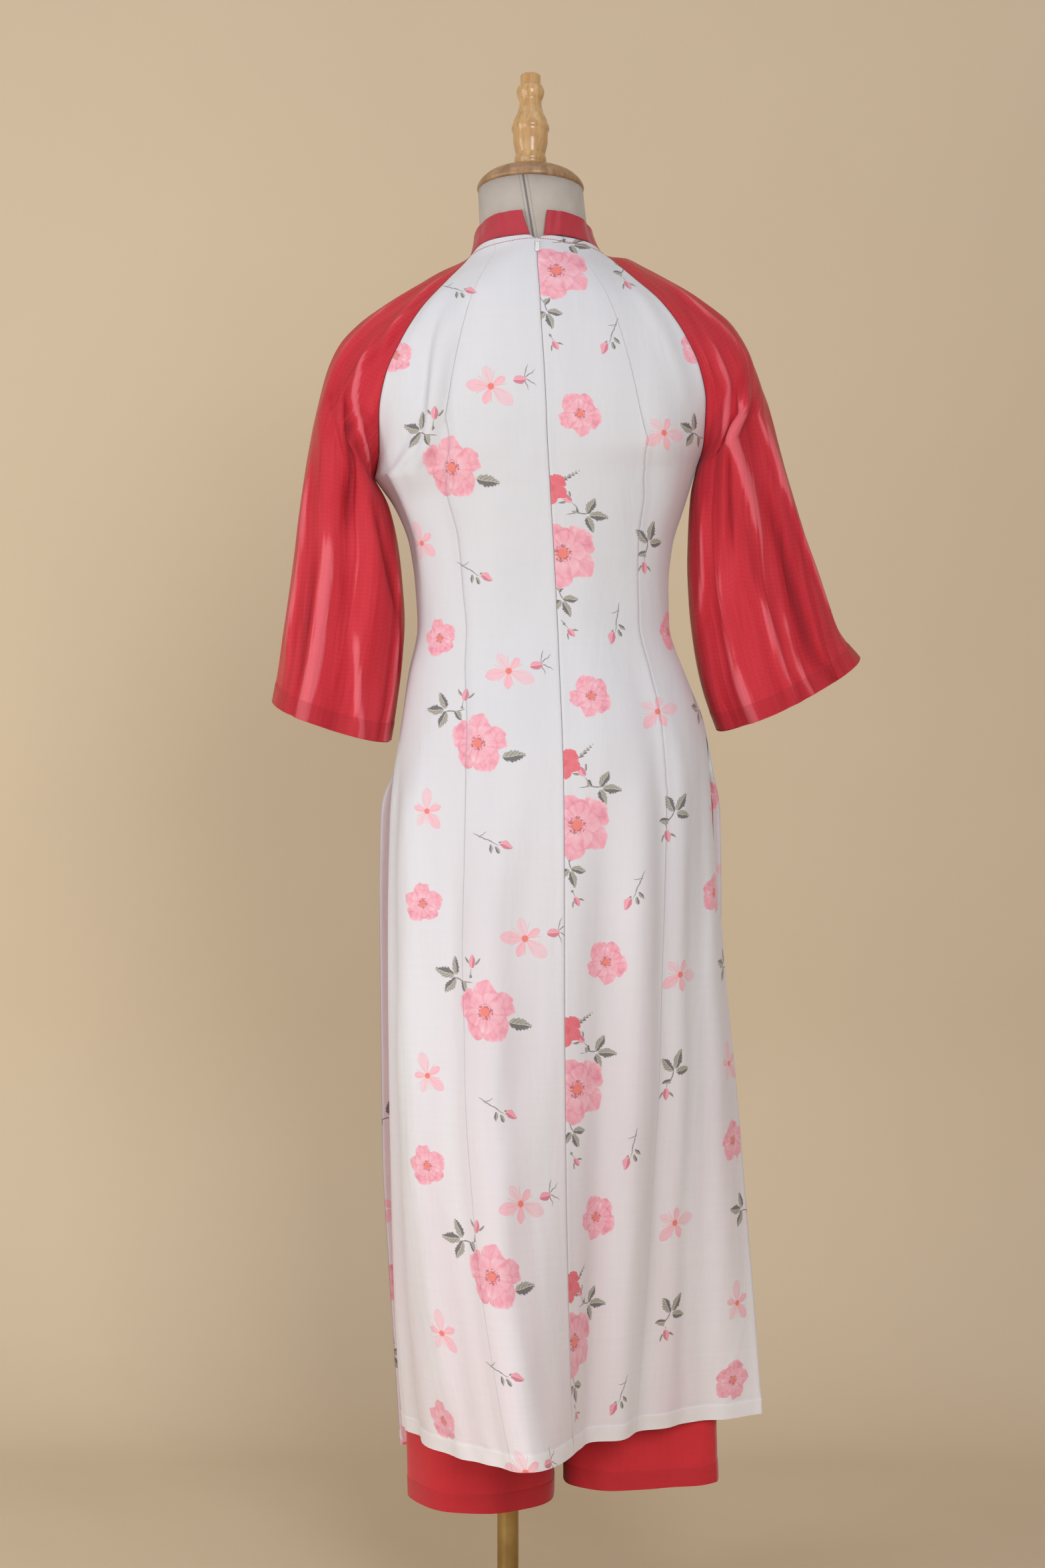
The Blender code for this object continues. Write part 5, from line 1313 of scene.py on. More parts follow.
def petal_group():
    """A rose seen open: two rings of broad petals, streaks that run out from the middle, and a coral heart
    ringed with dark stamens."""
    made, given, result = group(
        "rose", [("Place", "Vector"), ("Seed", "Float")], [("Mask", "Float"), ("Color", "Color")]
    )
    x, y, _ = parts_of(given["Place"])
    flat = node(made, "ShaderNodeCombineXYZ", {0: x, 1: y, 2: given["Seed"]}).outputs[0]
    slow = noisy(flat, 1.7, 2.0)
    away = math("SQRT", times_plus(x, x, times(y, y)))
    angle = times_plus(slow, 0.9, math("ARCTAN2", y, x))
    outer_wave = size_of(math("COSINE", times_plus(angle, 2.5, given["Seed"])))
    inner_wave = size_of(math("COSINE", times_plus(angle, 2.5, plus(given["Seed"], 1.5))))
    outer = times_plus(math("POWER", outer_wave, 0.5), 0.30, times_plus(slow, 0.34, 0.50))
    inner = times_plus(math("POWER", inner_wave, 0.45), 0.20, times_plus(slow, 0.26, 0.33))
    scallop = noisy(flat, 5.5, 2.0)
    outer = times_plus(scallop, 0.16, minus(outer, 0.08))
    wire(times(minus(outer, away), 26.0, clamp=True), result["Mask"])
    spokes = node(
        made, "ShaderNodeCombineXYZ",
        {0: times(math("COSINE", angle), 3.2), 1: times(math("SINE", angle), 3.2), 2: times(away, 0.9)}
    ).outputs[0]
    streak = noisy(spokes, 2.6, 4.0, rough=0.65)
    wash = noisy(flat, 2.4, 2.0)
    tone = plus(times_plus(streak, 0.9, -0.45), times_plus(wash, 1.0, -0.10))
    between = math("POWER", minus(1.0, outer_wave, clamp=True), 5.0)
    on_inner = times(minus(inner, away), 30.0, clamp=True)
    between_inner = math("POWER", minus(1.0, inner_wave, clamp=True), 6.0)
    under = minus(1.0, times(size_of(minus(away, inner)), 13.0), clamp=True)
    rim = minus(1.0, times(minus(outer, away), 15.0), clamp=True)
    dark = most(times(between, 0.30), times(under, 0.16))
    dark = most(dark, times(times(between_inner, on_inner), 0.22))
    tone = plus(plus(tone, times(on_inner, 0.16)), times_plus(rim, 0.18, times(dark, -0.75)))
    petals = ramp(
        tone, (0.0, (0.66, 0.18, 0.28)), (0.30, (0.80, 0.30, 0.39)), (0.56, (0.83, 0.41, 0.49)),
        (0.95, (0.84, 0.62, 0.66))
    )
    dots = noisy(flat, 13.0, 1.0)
    ring = minus(1.0, times(size_of(minus(away, 0.19)), 11.0), clamp=True)
    stamens = times(math("GREATER_THAN", dots, 0.53), math("GREATER_THAN", ring, 0.25))
    heart = times(minus(0.20, away), 16.0, clamp=True)
    colour = blend(heart, petals, (0.80, 0.17, 0.13))
    colour = blend(times(stamens, 0.75), colour, (0.33, 0.06, 0.09))
    wire(colour, result["Color"])
    return made


def loose_group():
    """A loose flower of five separate petals, one of them pale, with fine stamens out of a coral heart."""
    made, given, result = group(
        "loose flower", [("Place", "Vector")], [("Mask", "Float"), ("Color", "Color")]
    )
    x, y, _ = parts_of(given["Place"])
    away = math("SQRT", times_plus(x, x, times(y, y)))
    sector = times_plus(math("ARCTAN2", y, x), 5 / (2 * pi), 0.5)
    number = math("FLOOR", sector)
    bend = times(minus(minus(sector, number), 0.5), 2 * pi / 5)
    draw = node(
        made, "ShaderNodeTexWhiteNoise", {"W": times_plus(number, 1.37, 2.2)}, noise_dimensions="1D"
    ).outputs[0]
    long = times_plus(draw, 0.45, 0.60)
    along = math("DIVIDE", times(away, math("COSINE", bend)), long)
    aside = size_of(times(away, math("SINE", bend)))
    arch = math("SINE", times(math("POWER", math("MINIMUM", most(along, 0.0), 1.0), 1.45), pi))
    wide = times(math("POWER", most(arch, 0.0), 0.62), times_plus(draw, 0.13, 0.15))
    petal = times(minus(wide, aside), 32.0, clamp=True)
    faint = times(petal, times_plus(math("FRACT", times(draw, 7.3)), 0.55, 0.45))
    thread_sector = math("FRACT", times_plus(math("ARCTAN2", y, x), 11 / (2 * pi), 0.2))
    threads = times(
        math("LESS_THAN", times(size_of(minus(thread_sector, 0.5)), away), 0.020),
        math("LESS_THAN", away, 0.60)
    )
    heart = times(minus(0.15, away), 24.0, clamp=True)
    mask = most(most(faint, times(threads, 0.65)), heart)
    wire(mask, result["Mask"])
    streak = noisy(
        node(
            made, "ShaderNodeCombineXYZ", {0: times(along, 1.0), 1: times(aside, 16.0), 2: number}
        ).outputs[0],
        1.8, 3.0
    )
    petals = ramp(
        times_plus(along, 0.35, times(streak, 0.7)), (0.15, (0.90, 0.36, 0.42)), (0.55, (0.86, 0.42, 0.50)),
        (1.0, (0.78, 0.27, 0.37))
    )
    colour = blend(times(threads, 0.7), petals, (0.78, 0.22, 0.20))
    wire(blend(heart, colour, (0.80, 0.15, 0.12)), result["Color"])
    return made


def shape(tree, leaf, vector, at, turn, long, wide, teeth=0.0):
    """A leaf outline laid in a motif: its mask and tone."""
    laid = node(
        tree, "ShaderNodeMapping", {
            "Vector": vector, "Location": (*at, 0), "Rotation": (0, 0, radians(turn)),
            "Scale": (long, wide, 1)
        },
        vector_type="TEXTURE",
    )
    made = node(tree, "ShaderNodeGroup", node_tree=leaf)
    wire(laid.outputs[0], made.inputs["Place"])
    made.inputs["Teeth"].default_value = teeth
    return made.outputs["Mask"], made.outputs["Tone"]


LEAF_PARTS = {
    SPRAY: (
        ((-0.02, 0.06), 66, 0.88, 0.25), ((0.12, 0.0), 6, 0.98, 0.26), ((-0.02, -0.08), -56, 0.86, 0.25),
        ((-0.45, -0.08), 128, 0.62, 0.20)
    ),
    BUD: (((0.20, 0.28), 48, 0.75, 0.13), ((0.20, -0.28), -30, 0.75, 0.13), ((-0.9, 0.0), 0, 0.4, 0.16)),
    STEM: (
        ((-0.05, -0.06), -75, 0.42, 0.10), ((0.18, -0.10), -50, 0.40, 0.10), ((0.30, 0.12), -12, 0.22, 0.07)
    ),
    LEAF: (((-0.9, 0.0), 8, 1.8, 0.52),),
    FERN: (((-0.9, -0.2), 12, 1.9, 0.20),),
}
BUD_PARTS = {
    BUD: ((-0.10, 0.0), 4, 1.10, 0.34), STEM: ((0.36, 0.06), -8, 0.64, 0.20),
    SPIDER: ((-0.75, -0.05), -4, 0.95, 0.34)
}
STALKS = {
    SPRAY: (((-1.0, -0.16), 12, 1.30, 0.035),), BUD: (((-1.5, -0.06), 4, 1.6, 0.05),),
    STEM: (((-1.0, 0.30), -14, 1.50, 0.030), ((-0.62, 0.18), 42, 0.42, 0.022)),
    SPIDER: (
        ((0.0, 0.0), 68, 1.0, 0.045), ((0.0, 0.0), 30, 1.05, 0.045), ((0.0, 0.0), -36, 1.05, 0.045),
        ((0.0, 0.0), -78, 0.9, 0.045)
    ),
}


def print_group():
    """Leaves and buds under flowers: the printed colour, and how much of it covers the cloth."""
    made, given, result = group(
        "voile print", [("Flower", "Vector"), ("Leaf", "Vector")], [("Color", "Color"), ("Cover", "Float")]
    )
    leaf = leaf_group()
    kind = parts_of(given["Leaf"])[2]
    shake = node(made, "ShaderNodeTexNoise", {"Vector": given["Leaf"], "Scale": 3.0, "Detail": 1.0})
    flat = node(
        made, "ShaderNodeVectorMath", {0: given["Leaf"], 1: (1.0, 1.0, 0.0)}, operation="MULTIPLY"
    ).outputs[0]
    flat = node(
        made, "ShaderNodeVectorMath",
        {
            0: node(
                made, "ShaderNodeVectorMath", {0: shake.outputs["Color"], 1: (0.5, 0.5, 0.5)},
                operation="SUBTRACT"
            ).outputs[0],
            1: (0.16, 0.16, 0.0), 2: flat
        },
        operation="MULTIPLY_ADD"
    ).outputs[0]
    green, tone, pink, bud_tone = 0.0, 0.3, 0.0, 0.3
    for number in (SPRAY, BUD, STEM, LEAF, SPIDER, FERN):
        here = math("COMPARE", kind, number, 0.2)
        for at, turn, long, wide in LEAF_PARTS.get(number, ()):
            mask, shade = shape(made, leaf, flat, at, turn, long, wide, 0.22 if number != FERN else 0.7)
            mask = times(mask, here)
            tone = plus(times(shade, mask), times(tone, minus(1.0, mask)))
            green = most(green, mask)
        for at, turn, long, wide in STALKS.get(number, ()):
            mask, _ = shape(made, leaf, flat, at, turn, long, wide)
            green = most(green, times(times(mask, here), 0.8))
        if number in BUD_PARTS:
            mask, shade = shape(made, leaf, flat, *BUD_PARTS[number])
            pink = most(pink, times(mask, here))
            bud_tone = most(bud_tone, times(shade, here))
    leaf_colour = ramp(
        tone, (0.22, (0.085, 0.078, 0.088)), (0.45, (0.17, 0.16, 0.155)), (0.62, (0.36, 0.345, 0.285)),
        (0.9, (0.55, 0.52, 0.40))
    )
    bud_colour = ramp(
        bud_tone, (0.2, (0.52, 0.09, 0.16)), (0.55, (0.80, 0.27, 0.37)), (0.9, (0.86, 0.50, 0.52))
    )
    flower_kind = parts_of(given["Flower"])[2]
    rose, loose = (node(made, "ShaderNodeGroup", node_tree=tree) for tree in (petal_group(), loose_group()))
    wire(given["Flower"], rose.inputs["Place"])
    wire(given["Flower"], loose.inputs["Place"])
    rose.inputs["Seed"].default_value = 0.7
    is_loose = math("COMPARE", flower_kind, LOOSE, 0.2)
    is_red = math("COMPARE", flower_kind, RED_ROSE, 0.2)
    rose_colour = blend(times(is_red, 0.8), rose.outputs["Color"], (0.70, 0.045, 0.075))
    flower_colour = blend(is_loose, rose_colour, loose.outputs["Color"])
    flower = plus(times(loose.outputs["Mask"], is_loose), times(rose.outputs["Mask"], minus(1.0, is_loose)))
    under = blend(pink, leaf_colour, bud_colour)
    wire(blend(times(flower, 5.0, clamp=True), under, flower_colour), result["Color"])
    cover = most(most(green, pink), flower)
    wire(times(cover, 0.9), result["Cover"])
    return made


voile, tree, shader, flat, sewing, weave = sewn_cloth("printed voile")
weave.inputs["Yarn"].default_value = 600.0
motifs = node(tree, "ShaderNodeGroup", node_tree=print_group())
wire(node(tree, "ShaderNodeAttribute", attribute_name="flower").outputs["Vector"], motifs.inputs["Flower"])
wire(node(tree, "ShaderNodeAttribute", attribute_name="leaf").outputs["Vector"], motifs.inputs["Leaf"])
hem = times(minus(TUNIC_HEM, sewing[1]), 1400.0, clamp=True)
# Painted light: the ground grows lighter and pinker towards the hem, standing in for the trousers' red light through
# the sheer cloth and for light on the lower skirt.
low = minus(1.0, times(sewing[1], 1.25), clamp=True)
ground = blend(low, (0.625, 0.638, 0.685), (0.765, 0.668, 0.708))
# Painted highlight: soft vertical bands of whiter ground, where the folds catch the light.
wide = noisy(scaled(flat, 13.0, 1.9, 1.0), 1.0, 2.0, bent=0.4)
ground = blend(
    times_plus(wide, 3.2, -1.25, clamp=True), ground,
    blend(low, (0.655, 0.665, 0.710), (0.805, 0.795, 0.825))
)
ground = blend(times_plus(weave.outputs["Shade"], 0.7, -0.24, clamp=True), ground, (0.62, 0.60, 0.64))
ground = blend(times(hem, 0.55), ground, (0.80, 0.785, 0.80))
# Painted shade: a grey line along the seams, the rolled edges and the darts, and a faint painted shadow about 3 mm to
# one side of each dart.
seam = minus(1.0, times(sewing[0], 1200.0), clamp=True)
dart = minus(1.0, times(size_of(sewing[2]), 1300.0), clamp=True)
dart_shade = minus(1.0, times(size_of(minus(sewing[2], 0.003)), 160.0), clamp=True)
lines = most(times(seam, 0.5), times_plus(dart, 0.62, times(dart_shade, 0.10)))
printed = blend(motifs.outputs["Cover"], ground, motifs.outputs["Color"])
wire(blend(lines, printed, (0.36, 0.33, 0.37)), shader.inputs["Base Color"])
shader.inputs["Roughness"].default_value = 0.58
shader.inputs["Specular IOR Level"].default_value = 0.35
shader.inputs["Sheen Weight"].default_value = 0.3
shader.inputs["Sheen Roughness"].default_value = 0.35
rumple = noisy(scaled(flat, 30.0, 9.0, 1.0), 1.0, 4.0, bent=0.5)
pucker = noisy(scaled(flat, 60.0, 190.0, 1.0), 1.0, 2.0)
near_line = times(minus(0.009, math("MINIMUM", sewing[0], size_of(sewing[2]))), 110.0, clamp=True)
groove = times(minus(0.0035, math("MINIMUM", sewing[0], size_of(sewing[2]))), 285.0, clamp=True)
height = plus(times(weave.outputs["Height"], 0.04), times(rumple, 1.1))
height = plus(height, times(times(pucker, near_line), 0.5))
height = minus(height, times(math("POWER", groove, 2.0), 0.55))
bumped(shader, 0.7, 0.0022, height)
def straight_grain(sheet, column):
    """The cloth's own place at every point: across from one column, and down by that column's length."""
    middle = sheet.grid[:, column]
    down = np.concatenate([[0], np.cumsum(np.linalg.norm(np.diff(middle, axis=0), axis=1))])
    return sheet.across(column), np.interp(-sheet.grid[:, :, 2], -middle[:, 2], down)


def turned_out(sheet, row_at, strips, rows):
    """Lays both edges of the front flap flat to the back below the slits, so that their inner face shows
    beside the back flap, as it hangs in the photo."""
    far = sheet.across()
    grid = sheet.grid.copy()
    grow = smooth_step((np.asarray(row_at, float) - rows[0]) / (rows[1] - rows[0]))[:, None]
    for side, off, wide in ((1, far, strips[1]), (-1, far[:, -1:] - far, strips[0])):
        near = np.minimum(off, wide)
        fade = 1 - smooth_step((off - wide) / 0.075)
        grid[:, :, 0] -= side * near * fade * grow
        grid[:, :, 1] -= 0.92 * near * fade * grow
    return Sheet(grid, sheet.first_way, sheet.last_way, sheet.sewn)


FRONT_SHIFTS = (0.03, -0.37)
EDGE_STRIPS, STRIP_ROWS, FRONT_CLOSER = (0.0125, 0.0065), (14.25, 15.1), 1.35
white_thread = seam_thread("white thread", (0.72, 0.69, 0.70))
half = 52
right = span(front_rows(1), tunic_at, half, tunic_corners, tunic_sewn, FRONT_CLOSER)
left = span(front_rows(-1), tunic_at, half, tunic_corners, tunic_sewn, FRONT_CLOSER).turned_round()
front = Sheet(
    np.concatenate([right.grid, left.grid[:, 1:]], axis=1), right.first_way, left.last_way, tunic_sewn
)
front = add_folds(front, tunic_at, FRONT_FOLDS, TUNIC_LAST_ROW)
front = uneven(front, 20, 0.0010, 0.10, 0.6)
front = turned_out(front, tunic_at, EDGE_STRIPS, STRIP_ROWS)
front = hemmed(front, TUNIC_HEM, 0.0004, 0.0002)
piece = cloth(
    "voile_front", front, TUNIC_WALL, voile, "printed_white", "tunic_front",
    top=SEAM_GAP, weft=straight_grain(front, half - 1),
)
for layer, motifs in (("flower", FLOWERS), ("leaf", LEAVES)):
    lay_print(piece.data, layer, np.concatenate([placed(motifs, 0, shift, 0.35) for shift in FRONT_SHIFTS]))
hem_thread = stitches(
    "front_hem_stitches", *at_depth(front, TUNIC_HEM), 0.0030, white_thread, "printed_white"
)
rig.sheet(piece, held="hung", rests_on=["form_torso"], with_pieces=[hem_thread], **cut(front))

# Tunic back: two panels of the same voile, joined by the centre back seam with its invisible zip. Each has
# one long fisheye dart.
def back_rows(side):
    """Rows of the left or right back, as control points from its outer edge to the centre back seam."""
    rows = yoke_rows(side, False, LEFT_ARM if side < 0 else RIGHT_ARM)
    for row in BACK:
        x, y = (row.left_x, row.left_y) if side < 0 else (row.right_x, row.right_y)
        wide, deep = abs(row.middle_x - x), abs(row.middle_y - y)
        middle_way = heading(row.turn)
        if side < 0:
            edge_way, edge_reach = heading(-90 + 20 * row.swell), (0.57 + 0.63 * row.swell) * deep
            middle_reach = (0.57 + 0.32 * row.swell) * wide
        else:
            edge_way, edge_reach = heading(-90 - 63 * row.swell), 0.57 * deep
            middle_reach = (0.57 - 0.21 * row.swell) * wide
            middle_way = -middle_way
        rows.append(
            run(
                (x, y, row.z), edge_way, edge_reach, (row.middle_x, row.middle_y, row.z), middle_way,
                middle_reach
            )
        )
    return np.array(rows)


BACK_LEFT_FOLDS = (
    Fold(0.44, 0.22, 2.0, 12.0, 0.0055, 0.085),
    Fold(0.30, 0.10, 4.0, 11.5, -0.0045, 0.070),
    Fold(0.60, 0.42, 14.0, 23.0, -0.0060, 0.090),
    Fold(0.30, 0.22, 14.5, 23.0, 0.0050, 0.080),
)
BACK_RIGHT_FOLDS = (
    Fold(0.62, 0.60, 4.0, 12.0, 0.0030, 0.120),
    Fold(0.35, 0.38, 14.0, 23.0, 0.0060, 0.090),
    Fold(0.62, 0.64, 14.5, 23.0, -0.0050, 0.080),
    Fold(0.80, 0.82, 15.0, 23.0, 0.0040, 0.070),
)
BACK_LEFT_CREASES = (
    Crease(((2.6, 0.16), (3.9, 0.24), (5.7, 0.285), (7.4, 0.36), (9.7, 0.27)), -0.0055, 0.012, 0.006),
    Crease(((2.8, 0.25), (4.2, 0.31), (6.0, 0.36), (8.0, 0.43)), 0.0036, 0.009, 0.014),
    Crease(((2.2, 0.40), (5.0, 0.46), (8.5, 0.50), (12.0, 0.50)), -0.0030, 0.012, 0.016),
    Crease(((1.2, 0.10), (3.0, 0.09), (5.4, 0.11)), 0.0022, 0.010, 0.012),
    Crease(((15.2, 0.78), (19.0, 0.76), (23.0, 0.74)), 0.0070, 0.022, 0.018),
    Crease(((15.0, 0.58), (19.0, 0.57), (23.0, 0.56)), -0.0065, 0.016, 0.020),
    Crease(((13.5, 0.40), (17.0, 0.36), (23.0, 0.38)), 0.0050, 0.020, 0.014),
    Crease(((14.0, 0.16), (18.0, 0.14), (23.0, 0.12)), -0.0050, 0.013, 0.013),
    Crease(((14.5, 0.06), (18.5, 0.06), (23.0, 0.05)), 0.0030, 0.008, 0.010),
)
BACK_RIGHT_CREASES = (
    Crease(((12.0, 0.46), (14.5, 0.50), (18.0, 0.56), (23.0, 0.60)), 0.0055, 0.020, 0.016),
    Crease(((11.5, 0.40), (14.5, 0.42), (18.0, 0.46), (23.0, 0.47)), -0.0055, 0.014, 0.018),
    Crease(((15.0, 0.16), (19.0, 0.17), (23.0, 0.20)), -0.0060, 0.016, 0.016),
    Crease(((14.5, 0.30), (19.0, 0.31), (23.0, 0.33)), 0.0050, 0.018, 0.014),
    Crease(((13.0, 0.72), (17.0, 0.74), (23.0, 0.76)), -0.0045, 0.015, 0.020),
    Crease(((1.5, 0.86), (4.0, 0.84), (6.6, 0.88)), 0.0020, 0.010, 0.012),
)
DARTS = {
    "left": ((6.3, 0.46), (8.3, 0.555), (10.1, 0.553), (11.9, 0.565), (13.7, 0.607), (14.9, 0.625)),
    "right": (
        (7.0, 0.53), (8.2, 0.478), (9.6, 0.462), (11.0, 0.50), (12.6, 0.50), (14.1, 0.458), (15.6, 0.463)
    ),
}


def dart_distance(panel, row_at, stops):
    """Signed distance from the panel's dart line, and far away beyond its two ends."""
    u, rows, places = np.linspace(0, 1, panel.grid.shape[1]), *np.array(stops, float).T
    bend = np.polyfit(rows, places, 4)
    line = np.polyval(bend, np.clip(row_at, rows[0], rows[-1]))
    far = panel.across()
    middle = np.array([np.interp(at, u, one) for at, one in zip(line, far)])
    beyond = np.maximum(np.maximum(rows[0] - row_at, row_at - rows[-1]), 0.0) * 0.01
    off = far - middle[:, None]
    return off + np.sign(off) * beyond[:, None]


red_thread = seam_thread("red thread", (0.50, 0.03, 0.05))
NECK_TOPSTITCH = 0.0075
RIGHT_EDGE_IN, RIGHT_EDGE_ROWS = 0.0045, (13.8, 15.3, 16.2, 17.6)
for name, side, folds, creases in (
    ("left", -1, BACK_LEFT_FOLDS, BACK_LEFT_CREASES), ("right", 1, BACK_RIGHT_FOLDS, BACK_RIGHT_CREASES)
):
    panel = span(back_rows(side), tunic_at, 46, tunic_corners, tunic_sewn)
    if side > 0:
        panel = panel.turned_round()
    panel = add_folds(panel, tunic_at, folds, TUNIC_LAST_ROW)
    panel = add_creases(panel, tunic_at, creases, TUNIC_LAST_ROW)
    panel = uneven(panel, 30 + side, 0.0010, 0.10, 0.6)
    panel = hemmed(panel, TUNIC_HEM, 0.0006, 0.0007)
    if side > 0:
        start, full, level, end = RIGHT_EDGE_ROWS
        drawn_in = smooth_step((tunic_at - start) / (full - start))
        drawn_in = drawn_in * smooth_step((end - tunic_at) / (end - level))
        near_edge = smooth_step((np.linspace(0, 1, panel.grid.shape[1]) - 0.8) / 0.2)
        panel.grid[:, :, 0] -= RIGHT_EDGE_IN * drawn_in[:, None] * near_edge
    weft = straight_grain(panel, -1 if side < 0 else 0)
    dart = dart_distance(panel, tunic_at, DARTS[name])
    piece = cloth(
        "voile_back_" + name, panel, TUNIC_WALL, voile, "printed_white", "tunic_back_" + name,
        top=SEAM_GAP, weft=weft, dart=dart,
    )
    lay_print(piece.data, "flower", placed(FLOWERS, side))
    lay_print(piece.data, "leaf", placed(LEAVES, side))
    threads = [
        stitches(
            "back_hem_stitches_" + name, *at_depth(panel, TUNIC_HEM), 0.0030, white_thread, "printed_white"
        ),
        stitches(
            "neck_topstitches_" + name, *at_depth(panel, NECK_TOPSTITCH, False), 0.0026, red_thread,
            "collar_red", 0.78, 0.0009
        ),
    ]
    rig.sheet(piece, held="hung", rests_on=["form_torso"], with_pieces=threads, **cut(panel))

# Raglan sleeves: a back and a front half each, in crisp red organza with a satin face. The hems are turned
# up 20 mm.
SLEEVE_WALL, SLEEVE_HEM, SLEEVE_LAST_ROW, SLEEVE_HEM_STOP = 0.0007, 0.020, 15, 14.35
SLEEVE_COUNTS = (58, 60, 12)
sleeve_at = rows_at((0, UNDERARM_ROW, SLEEVE_HEM_STOP, SLEEVE_LAST_ROW), SLEEVE_COUNTS)


def sleeve_rows(side, front):
    """Rows of a sleeve's back or front, as control points from the raglan seam or underarm to the overarm."""
    arms = LEFT_ARM if side < 0 else RIGHT_ARM
    over_at = OVERARM_AT
    raglan_at = FRONT_RAGLAN_AT if front else BACK_RAGLAN_AT
    rows = [neck_run(side * raglan_at, side * over_at)]
    rows[0] = rows[0] + np.array([side * SEAM_GAP, 0.0, 0.0])
    way = np.array([0.0, 1.0 if front else -1.0, 0.0])
    for number, arm in enumerate(arms):
        over = overarm(arm)
        if number < UNDERARM_ROW:
            row = YOKE[number]
            under = raglan(row, side, front)
            _, leave = seam_headings(row, arm, front)
            open_reach = 0.38 * np.linalg.norm(over - under)
            reach = (1 - row.crease) * open_reach + row.crease * arm.depth * 4 / 3
        else:
            under, leave, reach = underarm(arm), way, arm.depth * 4 / 3
        under = under + np.array([side * SEAM_GAP, 0.0, 0.0])
        made = run(under, leave, reach, over, -way, reach)
        made[1:3, 2] -= arm.sag * 4 / 3
        rows.append(made)
    return np.array(rows)


LEFT_SLEEVE_BACK_FOLDS = (
    Fold(0.50, 0.55, 3.5, 15.0, -0.0060, 0.090),
    Fold(0.68, 0.72, 4.0, 14.0, 0.0070, 0.080),
    Fold(0.30, 0.34, 5.0, 15.0, 0.0040, 0.110),
)
RIGHT_SLEEVE_BACK_FOLDS = (
    Fold(0.45, 0.40, 3.5, 15.0, 0.0065, 0.080),
    Fold(0.28, 0.22, 4.5, 15.0, -0.0055, 0.080),
    Fold(0.66, 0.62, 3.0, 15.0, -0.0045, 0.090),
)
SLEEVE_FRONT_FOLDS = (
    Fold(0.40, 0.36, 4.0, 15.0, -0.0050, 0.090),
    Fold(0.62, 0.60, 4.5, 15.0, 0.0050, 0.090),
)
LEFT_SLEEVE_CREASES = (
    Crease(
        ((4.8, 0.62), (5.87, 0.70), (7.06, 0.692), (8.86, 0.567), (11.2, 0.55)), -0.0057, 0.0059, 0.0073
    ),
    Crease(((3.6, 0.66), (5.01, 0.72), (5.84, 0.81), (7.04, 0.865), (8.6, 0.85)), 0.0047, 0.0053, 0.0046),
    Crease(((7.6, 0.21), (8.29, 0.2), (10.31, 0.217), (11.28, 0.192), (14.6, 0.2)), 0.0043, 0.0092, 0.0040),
    Crease(
        ((8.3, 0.75), (9.89, 0.735), (11.05, 0.80), (12.4, 0.90), (14.0, 0.95)), -0.0043, 0.0066, 0.0053
    ),
    Crease(((12.0, 0.58), (13.3, 0.61), (14.18, 0.65), (15.0, 0.683)), 0.0038, 0.0059, 0.0059),
    Crease(((9.4, 0.43), (12.0, 0.40), (15.0, 0.37)), 0.0043, 0.0092, 0.0059),
    Crease(((1.6, 0.42), (4.0, 0.38), (6.6, 0.34)), 0.0029, 0.0066, 0.0079),
    Crease(((10.0, 0.31), (13.0, 0.31), (15.0, 0.29)), -0.0033, 0.0046, 0.0066),
    Crease(((1.0, 0.80), (3.0, 0.80), (5.0, 0.90)), 0.0024, 0.0053, 0.0040),
    Crease(((9.6, 0.84), (11.5, 0.86), (15.0, 0.86)), 0.0038, 0.0046, 0.0079),
)
RIGHT_SLEEVE_CREASES = (
    Crease(((3.6, 0.28), (4.39, 0.242), (5.59, 0.18), (6.92, 0.19), (8.6, 0.33)), 0.0043, 0.0046, 0.0059),
    Crease(((5.4, 0.26), (5.97, 0.29), (8.58, 0.475), (9.48, 0.508), (11.6, 0.56)), 0.0052, 0.0053, 0.0086),
    Crease(((7.8, 0.40), (8.46, 0.42), (10.03, 0.408), (11.8, 0.40)), -0.0052, 0.0059, 0.0053),
    Crease(
        ((6.4, 0.66), (7.71, 0.70), (9.49, 0.79), (11.1, 0.84), (12.53, 0.88), (14.6, 0.94)), 0.0040,
        0.0033, 0.0106
    ),
    Crease(((9.0, 0.18), (9.8, 0.185), (11.28, 0.19), (13.0, 0.08)), 0.0038, 0.0046, 0.0053),
    Crease(((11.8, 0.50), (12.6, 0.51), (13.36, 0.525), (15.0, 0.51)), 0.0040, 0.0053, 0.0053),
    Crease(((9.0, 0.66), (12.0, 0.69), (15.0, 0.71)), -0.0038, 0.0092, 0.0066),
    Crease(((1.6, 0.52), (4.5, 0.55), (7.2, 0.60)), 0.0032, 0.0066, 0.0079),
    Crease(((10.4, 0.30), (12.6, 0.31), (15.0, 0.32)), 0.0032, 0.0059, 0.0073),
    Crease(((12.4, 0.62), (13.6, 0.60), (15.0, 0.60)), 0.0029, 0.0053, 0.0053),
)


